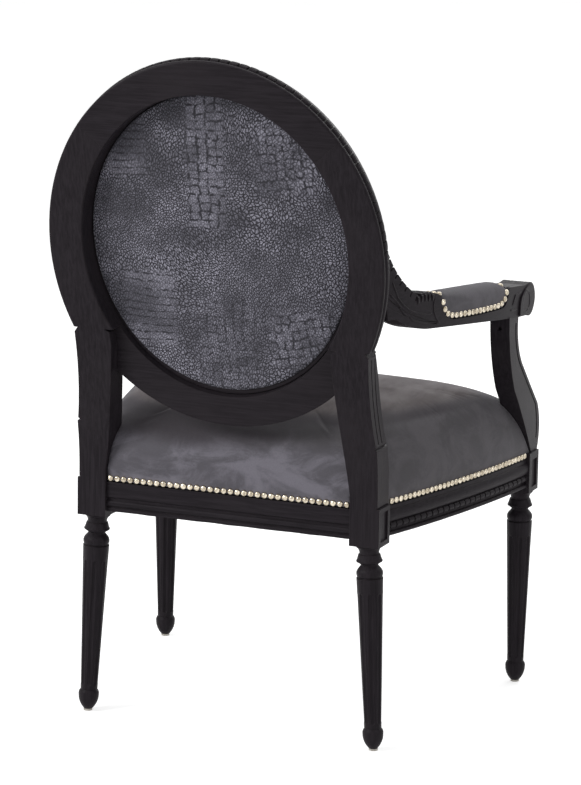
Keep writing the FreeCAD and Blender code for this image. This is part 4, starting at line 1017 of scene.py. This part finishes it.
def scroll_plate(tree, sign):
    """Thin raised cheek on the side of the scroll, with a softened edge."""
    middle_y, middle_z = SCROLL_CENTRE
    turns = [radians(t) for t in range(92, 268, 6)]
    front = [(middle_y + SCROLL_RADIUS * cos(t), middle_z + SCROLL_RADIUS * sin(t)) for t in turns]
    edge = along([*SCROLL_REAR, *front, SCROLL_FOOT], 2.0) + [SCROLL_HEEL]
    found = [on_face(tree, sign, y, z)[0] for y, z in edge]
    outer = max(abs(p.x) for p in found if p is not None)
    rings = []
    for rise, inset in CHEEK_RINGS:
        rings.append([])
        for y, z in edge:
            share = 1 - inset / math.hypot(y - middle_y, z - middle_z)
            rings[-1].append(at(0, middle_y + (y - middle_y) * share, middle_z + (z - middle_z) * share))
            rings[-1][-1].x = sign * (outer + rise * MM)
    return rings


def leaf(tree, sign):
    """Leaf lobes wrapped over the arm behind the pad."""
    blocks = []
    for i in range(LEAVES):
        y = LEAF_REAR - i * LEAF_PITCH
        z = tree.ray_cast(at(sign * 270, y, 800), Vector((0, 0, -1)), 0.3)[0].z / MM
        outer = abs(on_face(tree, sign, y, z - 8)[0].x) / MM
        inner = abs(tree.ray_cast(at(sign * 150, y, z - 8), Vector((sign, 0, 0)), 0.3)[0].x) / MM
        path = [(outer + out, 1, up, rise) for out, up, rise in LEAF_SECTION]
        path += [(inner - out, -1, up, rise) for out, up, rise in reversed(LEAF_SECTION)]
        blocks.append([])
        for x, side, up, rise in path:
            low = up < -1
            lean = LEAF_LEAN * up / 13 if low else 0
            blocks[-1].append([at(sign * (x + side * rise * s * low), y + LEAF_HALF * c + lean,
                                  z + up + rise * s * (not low)) for c, s in circle(8)])
    return blocks


def arm_carving(side_name, sign):
    """Carved lines, scroll cheek, loop and leaf bands of one arm."""
    tree = tree_of(NODES["arm_" + side_name])
    blocks = [bead(tree, sign, line, LINE_RADIUS) for line in ARM_LINES]
    out = Vector((sign * LOOP_RISE * MM, 0, 0))
    blocks.append([[p + out for p in row] for row in bead(tree, sign, SCROLL_LOOP, LOOP_RADIUS)])
    blocks.append(scroll_plate(tree, sign))
    blocks += leaf(tree, sign)
    block_strip("arm_carving_" + side_name, [rows for rows in blocks if len(rows) > 3], WOOD["y"])


for side_name, sign in SIDES:
    arm_carving(side_name, sign)

# Straps and the cloth under the seat, and straps in the back. Thickness and sags are in metres.

STRAP_THICKNESS, STRAP_SAG = 0.0013, 0.0012


def node_islands(node):
    """Boxes of the separate solids of a node."""
    bm = bmesh.new()
    bm.from_mesh(NODES[node].data)
    bmesh.ops.remove_doubles(bm, verts=bm.verts, dist=1e-6)
    boxes = sorted((corners(shell) for shell in shells(bm)), key=lambda box: tuple(box[0]))
    bm.free()
    return boxes


def straps(name, node, places, thick, parts=1, sag=Vector()):
    """Flat woven straps, each from a corner, its width and its run, sagging in the middle."""
    verts, faces = [], []
    for corner, wide, run in places:
        base = len(verts)
        for k in range(parts + 1):
            for start in (corner, corner + wide):
                p = start + run * (k / parts) + sag * sin(pi * k / parts)
                verts += [p, p + thick]
        for b in range(base, base + 4 * parts, 4):
            faces += [(b, b + 2, b + 6, b + 4), (b + 1, b + 5, b + 7, b + 3),
                      (b, b + 4, b + 5, b + 1), (b + 2, b + 3, b + 7, b + 6)]
        e = base + 4 * parts
        faces += [(base, base + 1, base + 3, base + 2), (e, e + 2, e + 3, e + 1)]
    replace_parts(new_piece(name, verts, faces, JUTE, smooth=False), node)


def seat_straps(name, node, across):
    """Straps over the solids of a node, across the chair or along it."""
    places = []
    for low, high in node_islands(node):
        x, y = Vector((high.x - low.x, 0, 0)), Vector((0, high.y - low.y, 0))
        places.append((low, y, x) if across else (low, x, y))
    straps(name, node, places, Vector((0, 0, STRAP_THICKNESS)), 24, Vector((0, 0, -STRAP_SAG)))


def back_straps():
    """Three straps across the opening, behind the padding of the inside back."""
    places = []
    for v in (-INNER_B / 2, 0.0, INNER_B / 2):
        low, high = v - 25, v + 25
        half = INNER_A * math.sqrt(1 - (max(-low, high) / INNER_B) ** 2) + 8
        ends = ((-half, low), (-half, high), (half, low))
        corner, above, beside = [in_opening(x, w, FRAME_DEPTH + 0.1) for x, w in ends]
        places.append((corner, above - corner, beside - corner))
    straps("back_straps", "back_webbing", places, -BACK_OUT * STRAP_THICKNESS)


def bottoming():
    """Thin black cloth nailed under the seat, sagging a little in the middle."""
    piece = new_object("bottoming_cloth", new_mesh("bottoming", *merged([NODES["dust_cover"]])))
    low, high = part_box("dust_cover")
    bm = bmesh.new()
    bm.from_mesh(piece.data)
    bmesh.ops.remove_doubles(bm, verts=bm.verts, dist=1e-6)
    for axis in (0, 1):
        way = Vector((axis == 0, axis == 1, 0))
        for where in spread(low[axis], high[axis], 25)[1:-1]:
            geometry = bm.verts[:] + bm.edges[:] + bm.faces[:]
            bmesh.ops.bisect_plane(bm, geom=geometry, plane_co=way * where, plane_no=way)
    for v in bm.verts:
        s = (v.co.x - low.x) / (high.x - low.x)
        t = (v.co.y - low.y) / (high.y - low.y)
        ripple = 0.0012 * abs(sin(31 * s + 5 * t) * sin(23 * t))
        v.co.z -= sin(pi * s) * (0.007 * sin(pi * t) + ripple)
    area = sum(f.calc_area() for f in bm.faces if f.normal.z < -0.5)
    bm.to_mesh(piece.data)
    bm.free()
    piece.data.materials.append(CLOTH)
    piece.data.shade_smooth()
    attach(piece, "root")
    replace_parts(piece, "dust_cover")


seat_straps("seat_cross_straps", "seat_cross_webbing", True)
seat_straps("seat_long_straps", "seat_long_webbing", False)
back_straps()
bottoming()

# Camera, light and floor. Lamps and floor are placed in metres.

# Turn, tilt and roll of the view in degrees, its distance, and its focal length and half height in
# pixels.
VIEW_TURN, VIEW_TILT, VIEW_ROLL = 22.636, 11.741, 0.908
VIEW_DISTANCE, VIEW_FOCAL, VIEW_HALF_HEIGHT = 5527.63, 3485.08, 392.5
VIEW_TARGET = (-2.13, 0, 493.9)
SENSOR = 36.0
FLOOR_HALF, FLOOR_GAP = 12.0, 0.0005
# Name, place, width and length, and power of each lamp.
LAMPS = (("key", (2.6, 2.6, 2.6), (1.7, 1.7), 95), ("fill", (-3.4, 1.4, 1.6), (1.4, 1.8), 16),
         ("top", (0.0, -0.6, 3.8), (2.0, 2.0), 22), ("front", (-0.6, -3.6, 2.2), (2.6, 2.0), 36))
LAMP_AIM = (0.0, 0.0, 0.55)


def camera():
    """Camera at the picture's own place, with the picture's slight roll."""
    psi, tilt, roll = [radians(angle) for angle in (VIEW_TURN, VIEW_TILT, VIEW_ROLL)]
    back = Vector((-sin(psi) * cos(tilt), cos(psi) * cos(tilt), sin(tilt)))
    right = (-back).cross(Vector((0, 0, 1))).normalized()
    up = right.cross(-back)
    c, s = cos(roll), sin(roll)
    data = bpy.data.cameras.new("camera")
    data.sensor_fit = "VERTICAL"
    data.sensor_height = SENSOR
    data.lens = SENSOR * VIEW_FOCAL / (2 * VIEW_HALF_HEIGHT)
    data.clip_start, data.clip_end = 0.1, 100.0
    made = new_object("camera", data)
    place = Matrix((right * c + up * s, up * c - right * s, back)).transposed().to_4x4()
    place.translation = at(*VIEW_TARGET) + back * VIEW_DISTANCE * MM
    made.matrix_world = place
    bpy.context.scene.camera = made


def area_light(name, place, size, power):
    data = bpy.data.lights.new(name, "AREA")
    data.shape = "RECTANGLE"
    data.size, data.size_y = size
    data.energy = power
    made = new_object(name, data)
    made.location = place
    made.rotation_mode = "QUATERNION"
    made.rotation_quaternion = (Vector(LAMP_AIM) - Vector(place)).to_track_quat("-Z", "Y")


def seen_share(g):
    """1 for rays that look straight at, or mirror, the surroundings."""
    rays = g.node("LightPath").outputs
    seen = g.calc("MAXIMUM", rays["Is Camera Ray"], rays["Is Glossy Ray"])
    return g.calc("MAXIMUM", seen, rays["Is Transmission Ray"])


def surroundings():
    """Soft pale world, white where it is seen or mirrored."""
    g = Graph("studio", "worlds", "Background")
    bpy.context.scene.world = g.owner
    strength = g.node("MapRange", {0: seen_share(g), 3: 0.45, 4: 1.0}).outputs[0]
    g.put(g.shader.inputs["Color"], (1, 1, 1, 1))
    g.put(g.shader.inputs["Strength"], strength)


def pale_floor():
    """Plain floor that keeps the chair's shadow."""
    square = [(-FLOOR_HALF, -FLOOR_HALF, 0), (FLOOR_HALF, -FLOOR_HALF, 0),
              (FLOOR_HALF, FLOOR_HALF, 0), (-FLOOR_HALF, FLOOR_HALF, 0)]
    mesh = new_mesh("floor", square, [(0, 1, 2, 3)])
    floor = new_object("floor", mesh)
    floor.location.z = -FLOOR_GAP
    g = Graph("pale_floor")
    tone = g.noise(g.coords, 3.0, 2.0)
    colour = g.mix(g.fit(tone, 0.3, 0.7), (0.8, 0.8, 0.8), (0.84, 0.84, 0.84))
    g.set(base=colour, rough=0.9, specular=0.1)
    g.put(g.shader.inputs["Emission Color"], (1, 1, 1, 1))
    g.put(g.shader.inputs["Emission Strength"], g.mul(seen_share(g), 0.62))
    mesh.materials.append(g.owner)


camera()
surroundings()
pale_floor()
for lamp in LAMPS:
    area_light(*lamp)
bpy.context.scene.view_settings.view_transform = "Standard"
